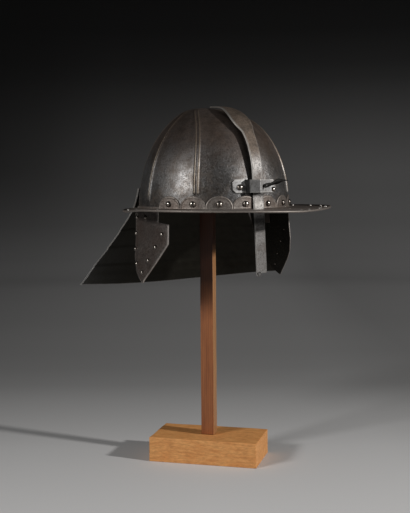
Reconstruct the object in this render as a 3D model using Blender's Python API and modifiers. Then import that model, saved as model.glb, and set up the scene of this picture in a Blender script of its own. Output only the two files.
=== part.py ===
"""Cavalry helmet with a ribbed skull, flat peak, sliding nasal bar and flared neck guard, on a wooden stand.

The helmet faces -Y, the wearer's left is +X, and the stand's foot is at Z = 0 under the post. Lengths are in
metres. Helmet pieces hang from the empty helmet_seat, whose origin is the skull's centre in the peak's plane.
"""
import math

import bmesh
import bpy
from mathutils import Matrix, Vector

MM = 0.001
GAP = 0.3 * MM                     # air between neighbouring pieces

# Stand
BASE_LENGTH = 161 * MM
BASE_WIDTH = 86 * MM
BASE_HEIGHT = 36 * MM
BASE_EDGE = 0.8 * MM
POST_SIDE = 19.5 * MM
POST_TOP_CHAMFER = 3 * MM
POST_CLEARANCE = 2 * MM            # under the crown
STAND_TURN = math.radians(-47.2)   # the block's long side, from +X

# Skull
PEAK_PLANE = 371.5 * MM            # height of the peak's underside over the stand's foot
SKULL_FORWARD = 15.4 * MM          # the skull's centre stands this far in front of the post
SKULL_HALF_LENGTH = 110 * MM
SKULL_HALF_WIDTH = 107 * MM
SKULL_HEIGHT = 145.5 * MM
RISE_POWER = 2.18                  # exponents of the dome's profile, for height
ROUND_POWER = 2.08                 # and for plan
CROWN_LEAN = 28 * MM               # the apex stands this far behind the skull's centre
CROWN_LEAN_POWER = 12              # and the lean grows as this power of the height
SKULL_WALL = 1.7 * MM
SKULL_LIP = -1.0 * MM              # the skull's lower edge
SKULL_RINGS = 11
RIB_COUNT = 8
RIB_HEIGHT = 2.0 * MM
RIB_FOOT_WIDTH = 9.4 * MM
RIB_CREST_WIDTH = 5.4 * MM
RIB_START = 21 * MM                # the front ribs die out above the flange
RIB_START_REAR = 32 * MM           # and the rear ones above the neck guard
RIB_RUN_IN = 4 * MM
RIB_MAX_SHARE = 0.40               # of the sector between ribs, near the crown
RIB_BENT = 7                       # the rib over the wearer's right eye, counted from the front towards +X,
RIB_BENT_TURN = math.radians(-14.4)  # turns this far round the skull by the apex
RIB_BENT_POWER = 6                 # as this power of the height
PANEL_COLUMNS = 4                  # between one rib and the next

# Peak
PEAK_RADIUS = 147.5 * MM
PEAK_FORWARD = 35 * MM             # centre of the peak's outline, in front of the skull's centre
PEAK_WALL = 1.5 * MM
PEAK_ROLL = 3.8 * MM               # the rolled edge
PEAK_BEND = (                      # angle from the front, and how far the outer edge hangs there
    (-118, 2.0 * MM),
    (-106, 2.8 * MM),
    (-90, 2.8 * MM),
    (-82, 1.4 * MM),
    (-72, -0.4 * MM),
    (-56, -0.2 * MM),
    (-20, 0.2 * MM),
    (-6, 1.4 * MM),
    (8, 2.2 * MM),
    (20, 0.9 * MM),
    (30, -0.4 * MM),
    (44, -1.4 * MM),
    (58, -1.0 * MM),
    (74, -0.4 * MM),
    (90, 0.0),
    (118, 0.0),
)
PEAK_BEND_START = 3 * MM           # the bend starts this far outside the flange
PEAK_END = math.radians(118.5)
PEAK_ROUND_FROM = math.radians(109)
FLANGE_WALL = 1.2 * MM
LOBE_STEP = math.radians(19)
LOBES_A_SIDE = 4
LOBE_FRACTIONS = (-1.0, -0.92, -0.7, -0.35, 0.0, 0.35, 0.7, 0.92)
LOBE_VALLEY = 5.0 * MM
LOBE_CROWN = 20.0 * MM
TAIL_STATIONS = 8
SLOT_CLEARANCE = 0.6 * MM

# Neck guard: each row is height, half spread sideways, reach to the rear
GUARD_ROWS = (
    (30 * MM, 106.0 * MM, 109.0 * MM),
    (14 * MM, 109.6 * MM, 113.0 * MM),
    (-2 * MM, 115.0 * MM, 119.4 * MM),
    (-12 * MM, 120.6 * MM, 125.4 * MM),
    (-31 * MM, 133.0 * MM, 137.8 * MM),
    (-55 * MM, 151.0 * MM, 154.4 * MM),
    (-79 * MM, 171.4 * MM, 172.8 * MM),
    (-94 * MM, 184.0 * MM, 184.4 * MM),
    (-104 * MM, 193.0 * MM, 193.2 * MM),
)
GUARD_DIP = 20.5 * MM              # the lower edge hangs deeper behind than at the sides
GUARD_FRONT_TOP = math.radians(120.5)
GUARD_FRONT_FOOT = math.radians(114.2)
GUARD_COLUMNS = 16
GUARD_WALL = 1.4 * MM

# Cheek pieces: each row is height, front edge, rear edge; the left one has a fuller front
CHEEK_ROWS_RIGHT = (
    (-1.5 * MM, -19.5 * MM, 50.5 * MM),
    (-16.0 * MM, -20.5 * MM, 48.5 * MM),
    (-19.0 * MM, -46.0 * MM, 48.0 * MM),
    (-45 * MM, -48.9 * MM, 43.5 * MM),
    (-66 * MM, -31.8 * MM, 39.0 * MM),
    (-86 * MM, -14.6 * MM, 25.0 * MM),
    (-95 * MM, -6.6 * MM, 12.0 * MM),
    (-101 * MM, -2.6 * MM, -0.2 * MM),
)
CHEEK_ROWS_LEFT = (
    (-1.5 * MM, -47.4 * MM, 50.5 * MM),
    (-16.0 * MM, -48.2 * MM, 48.5 * MM),
    (-45 * MM, -48.0 * MM, 43.5 * MM),
    (-64 * MM, -41.8 * MM, 39.5 * MM),
    (-76 * MM, -31.9 * MM, 33.0 * MM),
    (-87 * MM, -20.2 * MM, 24.0 * MM),
    (-96 * MM, -10.2 * MM, 10.5 * MM),
    (-103 * MM, -3.0 * MM, -0.6 * MM),
)
CHEEK_COLUMNS = 6
CHEEK_WALL = 1.7 * MM
CHEEK_TOP_HALF_SPREAD = 104 * MM
CHEEK_FLARE = 0.031                # outward lean at the top
CHEEK_FLARE_GROWTH = 1.216         # and how fast it grows, per metre
CHEEK_BEND_RADIUS = 200 * MM
CHEEK_RIVETS = (                   # y and z of each rivet
    (42.5 * MM, -11.5 * MM),
    (13.5 * MM, -10.5 * MM),
    (42.0 * MM, -34.5 * MM),
    (-33.0 * MM, -32.5 * MM),
    (38.5 * MM, -56.0 * MM),
    (-20.5 * MM, -50.5 * MM),
    (26.0 * MM, -76.0 * MM),
    (-6.0 * MM, -70.0 * MM),
    (4.5 * MM, -87.0 * MM),
)

# Leather hangers
HANGER_ROWS = (-24 * MM, -13 * MM, -3 * MM, 5 * MM, 14 * MM)
HANGER_MIDDLE = 15 * MM
HANGER_HALF_WIDTH = 14 * MM
HANGER_WALL = 2.0 * MM

# Nasal bar: it slides along a line that leans back from the vertical
NASAL_TILT = math.radians(4.0)
NASAL_WIDTH = 17.4 * MM
NASAL_WALL = 2.2 * MM
NASAL_BACK = 111.9 * MM            # the bar's rear face at the flange's upper edge
NASAL_BEND_START = 45 * MM
NASAL_FOOT = -84.5 * MM
NASAL_SCROLL_RADIUS = 2.5 * MM     # a narrow tongue at the foot's right corner curls forward
NASAL_SCROLL_WIDTH = 4.6 * MM
NASAL_SCROLL_STEPS = 6
NASAL_PATH = (                     # y, z and width above the straight part
    (-109.2 * MM, 62 * MM, 17.4 * MM),
    (-103.6 * MM, 80 * MM, 17.4 * MM),
    (-95.4 * MM, 97 * MM, 18.0 * MM),
    (-89.0 * MM, 107 * MM, 20.0 * MM),
    (-82.2 * MM, 115.3 * MM, 27.0 * MM),
    (-75.0 * MM, 122.6 * MM, 30.5 * MM),
    (-61.0 * MM, 133.0 * MM, 29.0 * MM),
    (-44.0 * MM, 140.2 * MM, 22.0 * MM),
    (-25.0 * MM, 143.8 * MM, 13.0 * MM),
    (-8.0 * MM, 145.1 * MM, 6.5 * MM),
    (6.0 * MM, 145.8 * MM, 1.6 * MM),
)
LEAF_CUP_RADIUS = 60 * MM          # the leaf is domed across
LEAF_CUP_START = 97 * MM
LEAF_CUP_RUN = 15 * MM

# Staple over the bar
STAPLE_HEIGHT_CENTRE = 32.7 * MM
STAPLE_HALF_HEIGHT = 8.8 * MM
STAPLE_END_HALF_HEIGHT = 5.0 * MM
STAPLE_WALL = 1.6 * MM
STAPLE_LEG = -15.7 * MM            # inner face of the upright leg, on the wearer's right
STAPLE_CREASE = -1.5 * MM          # where the bridge turns back
STAPLE_SLOPE_END = 24.0 * MM       # and where its slope reaches the skull
STAPLE_REACH = 34.6 * MM
STAPLE_CHAMFER = 3.6 * MM
BRIDGE_CLEARANCE = 2.6 * MM        # from the bar's front face, at the leg
BRIDGE_LEAN = 3.2 * MM             # the crease stands this much further out
STAPLE_RIVETS = (                  # side, x, z, then radius and height of the head
    ("right", -25.2 * MM, 31.0 * MM, 4.3 * MM, 3.1 * MM),
    ("left", 29.4 * MM, 27.8 * MM, 3.7 * MM, 2.8 * MM),
)

# Thumb screw, square to the staple's slope: the rows are distance along the axis, half width, half thickness
# and rise off the axis
SCREW_TURN = math.radians(61)      # from +X towards the front
SCREW_RISE = math.radians(15)
SCREW_SIDE = 3.5 * MM              # its axis meets the bar's front face this far from the middle
SCREW_DROP = 1.6 * MM              # and this far below the staple's middle
SCREW_HOLE_RADIUS = 2.3 * MM
SCREW_SIDES = 12
SCREW_ROWS = (
    (1.6 * MM, 1.75 * MM, 1.75 * MM, 0.0),
    (5.3 * MM, 1.75 * MM, 1.75 * MM, 0.0),
    (6.0 * MM, 2.6 * MM, 2.2 * MM, 0.0),
    (8.0 * MM, 2.9 * MM, 1.6 * MM, 0.1 * MM),
    (11.5 * MM, 2.8 * MM, 1.5 * MM, 0.1 * MM),
    (16.5 * MM, 2.1 * MM, 1.5 * MM, 0.1 * MM),
    (21.0 * MM, 2.7 * MM, 1.5 * MM, 0.5 * MM),
    (26.0 * MM, 3.4 * MM, 1.4 * MM, 1.0 * MM),
    (29.0 * MM, 3.1 * MM, 1.3 * MM, 1.1 * MM),
    (32.5 * MM, 1.8 * MM, 1.1 * MM, 0.7 * MM),
    (36.5 * MM, 1.1 * MM, 0.8 * MM, -0.2 * MM),
    (41.5 * MM, 0.4 * MM, 0.4 * MM, -1.6 * MM),
)
SCREW_EYE = 9.6 * MM               # where the grip is pierced
SCREW_EYE_RADIUS = 1.1 * MM

# Rivets: radius and height of the heads
FLANGE_RIVET = (4.4 * MM, 3.4 * MM)
GUARD_RIVET = (3.6 * MM, 2.6 * MM)
CHEEK_RIVET = (3.3 * MM, 2.5 * MM)
FLANGE_RIVET_HEIGHT = 9.0 * MM
GUARD_RIVET_HEIGHT = 22 * MM
GUARD_RIVET_ANGLES = (131, 155, 180, 205, 229)
RIVET_SIDES = 10
RIVET_RINGS = 3

STEEL_DARK = (0.060, 0.052, 0.047)
STEEL_BROWN = (0.085, 0.058, 0.045)
STEEL_GREY = (0.170, 0.165, 0.160)
STEEL_BLACK = (0.020, 0.018, 0.017)
LEATHER = (0.060, 0.035, 0.022)
WOOD_POST = (0.230, 0.095, 0.048)
WOOD_BASE = (0.330, 0.170, 0.080)


def clear_scene():
    for obj in list(bpy.data.objects):
        bpy.data.objects.remove(obj, do_unlink=True)


def new_collection(name):
    collection = bpy.data.collections.new(name)
    bpy.context.scene.collection.children.link(collection)
    return collection


def make_material(name, colour, roughness, metallic):
    material = bpy.data.materials.new(name)
    material.use_nodes = True
    shader = material.node_tree.nodes["Principled BSDF"]
    shader.inputs["Base Color"].default_value = (*colour, 1.0)
    shader.inputs["Roughness"].default_value = roughness
    shader.inputs["Metallic"].default_value = metallic
    return material


def add_object(name, mesh, material, collection, parent=None, matrix=None):
    obj = bpy.data.objects.new(name, mesh)
    mesh.materials.append(material)
    collection.objects.link(obj)
    obj.parent = parent
    if matrix is not None:
        obj.matrix_local = matrix
    return obj


def grid_mesh(name, rows, ring=False, pole=None, flip=False):
    """Quads between neighbouring rows of points; a ring closes on itself and a pole closes the last row."""
    mesh = bpy.data.meshes.new(name)
    bm = bmesh.new()
    vert_rows = [[bm.verts.new(point) for point in row] for row in rows]
    columns = len(rows[0])
    spans = columns if ring else columns - 1
    for lower, upper in zip(vert_rows, vert_rows[1:]):
        for i in range(spans):
            j = (i + 1) % columns
            bm.faces.new((lower[i], lower[j], upper[j], upper[i]))
    if pole is not None:
        tip = bm.verts.new(pole)
        for i in range(spans):
            bm.faces.new((vert_rows[-1][i], vert_rows[-1][(i + 1) % columns], tip))
    if flip:
        bmesh.ops.reverse_faces(bm, faces=bm.faces)
    bm.to_mesh(mesh)
    bm.free()
    return mesh


def loft_mesh(name, sections):
    """A closed solid through a run of closed sections with equal point counts."""
    mesh = bpy.data.meshes.new(name)
    bm = bmesh.new()
    rings = [[bm.verts.new(point) for point in section] for section in sections]
    count = len(sections[0])
    for near, far in zip(rings, rings[1:]):
        for i in range(count):
            j = (i + 1) % count
            bm.faces.new((near[i], near[j], far[j], far[i]))
    bm.faces.new(rings[0])
    bm.faces.new(rings[-1])
    bmesh.ops.recalc_face_normals(bm, faces=bm.faces)
    bm.to_mesh(mesh)
    bm.free()
    return mesh


def smooth(obj, angle=math.radians(35)):
    obj.data.shade_smooth()
    obj.data.set_sharp_from_angle(angle=angle)


def thicken(obj, wall, outward):
    shell = obj.modifiers.new("wall", "SOLIDIFY")
    shell.thickness = wall
    shell.offset = 1.0 if outward else -1.0
    shell.use_even_offset = True


def cut(obj, cutter):
    cutter.hide_render = True
    cutter.display_type = "WIRE"
    boolean = obj.modifiers.new("cut", "BOOLEAN")
    boolean.operation = "DIFFERENCE"
    boolean.solver = "EXACT"
    boolean.object = cutter


def dome_share(z):
    """The skull's plan at height z, as a share of its plan at the peak's plane."""
    if z <= 0.0:
        return 1.0
    return max(0.0, 1.0 - (z / SKULL_HEIGHT) ** RISE_POWER) ** (1.0 / ROUND_POWER)


def crown_lean(z):
    """How far the skull's plan at height z stands behind its centre; nothing below the staple's top."""
    return CROWN_LEAN * (max(0.0, z) / SKULL_HEIGHT) ** CROWN_LEAN_POWER


def crown_height(x, y):
    """Height of the dome over a point of its plan."""
    low, high = 0.5 * SKULL_HEIGHT, SKULL_HEIGHT
    for _ in range(40):
        z = (low + high) / 2
        plan = math.hypot(x / SKULL_HALF_WIDTH, (y - crown_lean(z)) / SKULL_HALF_LENGTH)
        if plan < dome_share(z):
            low = z
        else:
            high = z
    return low


def skull_radius(angle, z):
    """Distance from the skull's axis to its outer face, without ribs; the angle runs from the front to +X."""
    plan = math.hypot(math.sin(angle) / SKULL_HALF_WIDTH, math.cos(angle) / SKULL_HALF_LENGTH)
    return dome_share(z) / plan


def at_angle(angle, radius, z):
    return Vector((radius * math.sin(angle), -radius * math.cos(angle), z))


def skull_front(x, z):
    """The y of the skull's outer face at the front."""
    share = dome_share(z)
    return -SKULL_HALF_LENGTH * math.sqrt(share * share - (x / SKULL_HALF_WIDTH) ** 2)


def facing(point, normal):
    """A placement at the point whose Z runs along the normal."""
    turn = Vector(normal).to_track_quat("Z", "Y").to_matrix().to_4x4()
    return Matrix.Translation(point) @ turn


def ramp(value, start, run):
    return min(1.0, max(0.0, (value - start) / run))


# Skull

def skull_rows():
    heights = [SKULL_LIP, RIB_START, RIB_START + RIB_RUN_IN, RIB_START_REAR, RIB_START_REAR + RIB_RUN_IN]
    first = math.asin((heights[-1] / SKULL_HEIGHT) ** (RISE_POWER / 2))
    last = math.radians(86)
    for i in range(1, SKULL_RINGS + 1):
        turn = first + (last - first) * i / SKULL_RINGS
        heights.append(SKULL_HEIGHT * math.sin(turn) ** (2 / RISE_POWER))
    sector = math.tau / RIB_COUNT
    rows = []
    for z in heights:
        around = SKULL_HALF_LENGTH * dome_share(z)
        foot = min(RIB_FOOT_WIDTH / 2 / around, RIB_MAX_SHARE * sector / 2)
        crest = foot * RIB_CREST_WIDTH / RIB_FOOT_WIDTH
        row = []
        bent = RIB_BENT_TURN * (max(0.0, z) / SKULL_HEIGHT) ** RIB_BENT_POWER
        middles = [rib * sector + (bent if rib == RIB_BENT else 0.0) for rib in range(RIB_COUNT)]
        for middle, after in zip(middles, middles[1:] + [math.tau]):
            rear = math.cos(middle) < -0.5
            start = RIB_START_REAR if rear else RIB_START
            height = RIB_HEIGHT * ramp(z, start, RIB_RUN_IN) * min(1.0, dome_share(z) / 0.3)
            for offset, lift in ((-foot, 0.0), (-crest, height), (crest, height), (foot, 0.0)):
                row.append(at_angle(middle + offset, skull_radius(middle + offset, z) + lift, z))
            for i in range(1, PANEL_COLUMNS + 1):
                angle = middle + foot + (after - middle - 2 * foot) * i / (PANEL_COLUMNS + 1)
                row.append(at_angle(angle, skull_radius(angle, z), z))
        lean = Vector((0, crown_lean(z), 0))
        rows.append([point + lean for point in row])
    return rows


def build_skull(parts, seat, steel):
    mesh = grid_mesh("skull", skull_rows(), ring=True, pole=Vector((0, CROWN_LEAN, SKULL_HEIGHT)))
    skull = add_object("skull", mesh, steel, parts, seat)
    thicken(skull, SKULL_WALL, outward=False)
    smooth(skull)
    return skull


# Peak

def peak_reach(angle):
    """Distance from the skull's axis to the peak's outer edge."""
    side = PEAK_FORWARD * math.sin(angle)
    reach = PEAK_FORWARD * math.cos(angle) + math.sqrt(PEAK_RADIUS ** 2 - side ** 2)
    share = ramp(abs(angle), PEAK_ROUND_FROM, PEAK_END - PEAK_ROUND_FROM)
    inner = skull_radius(angle, 0) + FLANGE_WALL + PEAK_ROLL + 3 * MM
    return inner + (reach - inner) * math.sqrt(1.0 - share * share)


def peak_drop(angle, radius):
    """How far the bent peak hangs below its plane at a point."""
    degrees = math.degrees(angle)
    keys = [key for key, _ in PEAK_BEND]
    drops = [drop for _, drop in PEAK_BEND]
    degrees = min(max(degrees, keys[0]), keys[-1])
    i = max(1, sum(key < degrees for key in keys))
    share = (degrees - keys[i - 1]) / (keys[i] - keys[i - 1])
    edge_drop = drops[i - 1] + (drops[i] - drops[i - 1]) * share
    start = skull_radius(angle, 0) + GAP + FLANGE_WALL + PEAK_BEND_START
    return edge_drop * ramp(radius, start, peak_reach(angle) - start) ** 1.5


def flange_stations():
    """Angle and flange height at each station, from the wearer's right to the left."""
    edge = LOBES_A_SIDE * LOBE_STEP
    turns = [math.pi / 2 * (i + 1) / TAIL_STATIONS for i in range(TAIL_STATIONS)]
    tail = [edge + (PEAK_END - edge) * math.sin(turn) for turn in turns]
    stations = [(-angle, LOBE_VALLEY) for angle in reversed(tail)]
    for lobe in range(2 * LOBES_A_SIDE):
        centre = (lobe + 0.5 - LOBES_A_SIDE) * LOBE_STEP
        for fraction in LOBE_FRACTIONS:
            rise = (LOBE_CROWN - LOBE_VALLEY) * math.sqrt(1.0 - fraction * fraction)
            stations.append((centre + fraction * LOBE_STEP / 2, LOBE_VALLEY + rise))
    stations.append((edge, LOBE_VALLEY))
    stations += [(angle, LOBE_VALLEY) for angle in tail]
    return stations


def peak_section(angle, top):
    inner = skull_radius(angle, 0) + GAP
    inner_top = skull_radius(angle, top) + GAP
    reach = peak_reach(angle)
    roll = PEAK_ROLL
    middle = (inner + FLANGE_WALL + reach - roll) / 2
    profile = (
        (inner, 0.0),
        (middle, 0.0),
        (reach - 0.75 * roll, 0.0),
        (reach - 0.25 * roll, 0.1 * roll),
        (reach, 0.45 * roll),
        (reach - 0.25 * roll, 0.85 * roll),
        (reach - 0.75 * roll, 0.85 * roll),
        (reach - 1.1 * roll, PEAK_WALL),
        (middle, PEAK_WALL),
        (inner + FLANGE_WALL + 1.2 * MM, PEAK_WALL),
        (inner + FLANGE_WALL, PEAK_WALL + 1.2 * MM),
        (inner_top + FLANGE_WALL, top),
        (inner_top, top),
    )
    return [at_angle(angle, radius, z - peak_drop(angle, radius)) for radius, z in profile]


def build_peak(parts, cutters, seat, steel):
    mesh = loft_mesh("peak", [peak_section(angle, top) for angle, top in flange_stations()])
    peak = add_object("peak", mesh, steel, parts, seat)
    slot_back = -(NASAL_BACK + 0.1 * MM)
    slot_front = bar_middle(0) - NASAL_WALL / 2 - SLOT_CLEARANCE
    bpy.ops.mesh.primitive_cube_add(size=1)
    slot = bpy.context.object
    slot.name = "nasal_slot"
    slot_size = (NASAL_WIDTH + 2 * SLOT_CLEARANCE, slot_back - slot_front, 8 * MM)
    slot.data.transform(Matrix.Diagonal((*slot_size, 1)))
    slot.parent = seat
    slot.location = (0, (slot_back + slot_front) / 2, -1.5 * MM)
    move_to(slot, cutters)
    cut(peak, slot)
    smooth(peak)
    return peak


def move_to(obj, collection):
    for owner in list(obj.users_collection):
        owner.objects.unlink(obj)
    collection.objects.link(obj)


# Neck guard

def guard_point(row, angle):
    z, spread, reach = row
    radius = 1.0 / math.hypot(math.sin(angle) / spread, math.cos(angle) / reach)
    depth = ramp(-z, 0, -GUARD_ROWS[-1][0]) ** 2
    behind = max(0.0, -math.cos(angle)) ** 2
    drop = GUARD_DIP * depth * behind
    return at_angle(angle, radius, z - drop)


def build_guard(parts, seat, steel):
    rows = []
    lowest = GUARD_ROWS[-1][0]
    for row in GUARD_ROWS:
        front = GUARD_FRONT_TOP + (GUARD_FRONT_FOOT - GUARD_FRONT_TOP) * ramp(-row[0], 0, -lowest)
        angles = [front + (math.tau - 2 * front) * i / GUARD_COLUMNS for i in range(GUARD_COLUMNS + 1)]
        rows.append([guard_point(row, angle) for angle in angles])
    guard = add_object("neck_guard", grid_mesh("neck_guard", rows, flip=True), steel, parts, seat)
    thicken(guard, GUARD_WALL, outward=True)
    smooth(guard)
    return guard


# Cheek pieces and their hangers

def cheek_spread(y, z):
    """Distance of a cheek piece's outer face from the helmet's middle plane."""
    drop = max(0.0, -z)
    top = CHEEK_TOP_HALF_SPREAD + CHEEK_FLARE * drop + CHEEK_FLARE_GROWTH * drop * drop
    return top * math.sqrt(1.0 - (y / CHEEK_BEND_RADIUS) ** 2)


def cheek_normal(side, y, z):
    step = 1 * MM
    along = Vector((side * (cheek_spread(y + step, z) - cheek_spread(y, z)), step, 0))
    down = Vector((side * (cheek_spread(y, z - step) - cheek_spread(y, z)), 0, -step))
    normal = along.cross(down)
    if normal.x * side < 0:
        normal.negate()
    return normal.normalized()


def build_cheek(name, side, outline, parts, seat, steel):
    rows = []
    for z, front, rear in outline:
        ys = [front + (rear - front) * i / CHEEK_COLUMNS for i in range(CHEEK_COLUMNS + 1)]
        rows.append([Vector((side * cheek_spread(y, z), y, z)) for y in ys])
    cheek = add_object(name, grid_mesh(name, rows, flip=side > 0), steel, parts, seat)
    thicken(cheek, CHEEK_WALL, outward=False)
    smooth(cheek)
    return cheek


def hanger_spread(y, z):
    """Outer face of a hanger: it lies on the cheek piece's inner face below and on the skull's above."""
    cheek = cheek_spread(y, z) - CHEEK_WALL
    angle = math.pi / 2 + y / SKULL_HALF_WIDTH
    skull = (skull_radius(angle, z) - SKULL_WALL) * math.sin(angle)
    return min(cheek, skull) - 2 * GAP


def build_hanger(name, side, parts, seat, leather):
    rows = []
    for z in HANGER_ROWS:
        ys = [HANGER_MIDDLE + HANGER_HALF_WIDTH * i / 2 for i in range(-2, 3)]
        rows.append([Vector((side * hanger_spread(y, z), y, z)) for y in ys])
    hanger = add_object(name, grid_mesh(name, rows, flip=side < 0), leather, parts, seat)
    thicken(hanger, HANGER_WALL, outward=False)
    smooth(hanger)
    return hanger


# Nasal bar, its staple and its screw

def bar_middle(z):
    """The y of the bar's middle plane along its straight part."""
    return -NASAL_BACK - NASAL_WALL / 2 + math.tan(NASAL_TILT) * (z - LOBE_CROWN)


def bar_stations():
    """Points (y, z), widths and sideways offsets, from the foot's scroll to the leaf's tip."""
    stations = []
    radius = NASAL_SCROLL_RADIUS
    corner = (NASAL_SCROLL_WIDTH - NASAL_WIDTH) / 2
    for i in range(NASAL_SCROLL_STEPS):
        turn = math.radians(50 * (NASAL_SCROLL_STEPS - 1 - i))
        y = bar_middle(NASAL_FOOT) - radius + radius * math.cos(turn)
        stations.append((y, NASAL_FOOT - MM - radius * math.sin(turn), NASAL_SCROLL_WIDTH, corner))
    stations.append((bar_middle(NASAL_FOOT), NASAL_FOOT, NASAL_WIDTH, 0.0))
    stations.append((bar_middle(NASAL_BEND_START), NASAL_BEND_START, NASAL_WIDTH, 0.0))
    stations += [(y, z, width, 0.0) for y, z, width in NASAL_PATH]
    return stations


def bar_section(point, along, width, offset):
    """Eight corners across the bar; its front edges are bevelled and the leaf is domed."""
    y, z = point
    normal = Vector((-along[1], along[0])).normalized()
    half = NASAL_WALL / 2
    bevel = min(1.2 * MM, width / 4)
    cup = (width / 2) ** 2 / (2 * LEAF_CUP_RADIUS) * ramp(z, LEAF_CUP_START, LEAF_CUP_RUN)
    shape = (
        (-width / 2, -half - cup),
        (0.0, -half),
        (width / 2, -half - cup),
        (width / 2, -cup),
        (width / 2 - bevel, half - cup),
        (0.0, half),
        (-width / 2 + bevel, half - cup),
        (-width / 2, -cup),
    )
    return [Vector((offset + x, y + normal.x * out, z + normal.y * out)) for x, out in shape]


def build_bar(parts, seat, steel):
    stations = bar_stations()
    origin = Vector((0, bar_middle(0), 0))
    sections = []
    for i, (y, z, width, offset) in enumerate(stations):
        before = stations[max(0, i - 1)]
        after = stations[min(len(stations) - 1, i + 1)]
        along = (after[0] - before[0], after[1] - before[1])
        if z == NASAL_FOOT or z == NASAL_BEND_START:
            along = (math.tan(NASAL_TILT), 1.0)
        section = bar_section((y, z), along, width, offset)
        sections.append([corner - origin for corner in section])
    mesh = loft_mesh("nasal_bar", sections)
    bar = add_object("nasal_bar", mesh, steel, parts, seat, Matrix.Translation(origin))
    smooth(bar)
    return bar


def staple_columns():
    """Inner face of the staple from end to end: x, half height, and its stand-out (None: on the skull)."""
    end = STAPLE_REACH - STAPLE_CHAMFER
    tall = STAPLE_HALF_HEIGHT
    flat = [(-STAPLE_REACH, STAPLE_END_HALF_HEIGHT, None)]
    flat += [(x, tall, None) for x in (-end, (STAPLE_LEG - end) / 2, STAPLE_LEG)]
    bridge = [(STAPLE_LEG, tall, 0.0), (STAPLE_CREASE, tall, BRIDGE_LEAN)]
    far = [(STAPLE_SLOPE_END, tall, None), (end, tall, None), (STAPLE_REACH, STAPLE_END_HALF_HEIGHT, None)]
    return flat + bridge + far


def bridge_inner(z, lean):
    return bar_middle(z) - NASAL_WALL / 2 - BRIDGE_CLEARANCE - lean


def build_staple(parts, cutters, seat, steel):
    rows = []
    for share in (-1.0, -0.35, 0.35, 1.0):
        row = []
        for x, half, lean in staple_columns():
            z = STAPLE_HEIGHT_CENTRE + share * half
            y = skull_front(x, z) - GAP if lean is None else bridge_inner(z, lean)
            row.append(Vector((x, y, z)))
        rows.append(row)
    staple = add_object("staple", grid_mesh("staple", rows), steel, parts, seat)
    thicken(staple, STAPLE_WALL, outward=True)
    bpy.ops.mesh.primitive_cylinder_add(vertices=SCREW_SIDES, radius=SCREW_HOLE_RADIUS, depth=8 * MM)
    bore = bpy.context.object
    bore.name = "screw_bore"
    bore.parent = seat
    lying = Matrix.Rotation(math.pi / 2, 4, "Y")
    bore.matrix_local = screw_placement() @ Matrix.Translation((4 * MM, 0, 0)) @ lying
    move_to(bore, cutters)
    cut(staple, bore)
    smooth(staple)
    return staple


def screw_placement():
    """The screw's axis is its local X: from the bar's front face it runs out through the slope and rises."""
    height = STAPLE_HEIGHT_CENTRE - SCREW_DROP
    origin = Vector((SCREW_SIDE, bar_middle(height) - NASAL_WALL / 2, height))
    plan = Matrix.Rotation(-SCREW_TURN, 4, "Z")
    return Matrix.Translation(origin) @ plan @ Matrix.Rotation(-SCREW_RISE, 4, "Y")


def build_screw(parts, cutters, seat, steel):
    sections = []
    for along, half_width, half_thickness, rise in SCREW_ROWS:
        section = []
        for i in range(SCREW_SIDES):
            turn = math.tau * i / SCREW_SIDES
            across, up = half_thickness * math.sin(turn), rise + half_width * math.cos(turn)
            section.append(Vector((along, across, up)))
        sections.append(section)
    mesh = loft_mesh("thumb_screw", sections)
    screw = add_object("thumb_screw", mesh, steel, parts, seat, screw_placement())
    bpy.ops.mesh.primitive_cylinder_add(vertices=10, radius=SCREW_EYE_RADIUS, depth=8 * MM)
    eye = bpy.context.object
    eye.name = "screw_eye"
    eye.parent = screw
    eye.matrix_local = Matrix.Translation((SCREW_EYE, 0, 0)) @ Matrix.Rotation(math.pi / 2, 4, "X")
    move_to(eye, cutters)
    cut(screw, eye)
    smooth(screw)
    return screw


# Rivets

def rivet_mesh(name, size, sides):
    """A domed head that stands on its flat underside, Z outward."""
    radius, height = size
    rows = [[Vector((radius * math.cos(math.tau * i / sides), radius * math.sin(math.tau * i / sides), 0))
             for i in range(sides)]]
    for ring in range(RIVET_RINGS - 1):
        turn = math.radians(32 + 32 * ring)
        rows.append([Vector((point.x * math.cos(turn), point.y * math.cos(turn), height * math.sin(turn)))
                     for point in rows[0]])
    mesh = grid_mesh(name, rows, ring=True, pole=Vector((0, 0, height)))
    bm = bmesh.new()
    bm.from_mesh(mesh)
    bm.verts.ensure_lookup_table()
    bm.faces.new([bm.verts[i] for i in reversed(range(sides))])
    bm.to_mesh(mesh)
    bm.free()
    mesh.shade_smooth()
    return mesh


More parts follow.
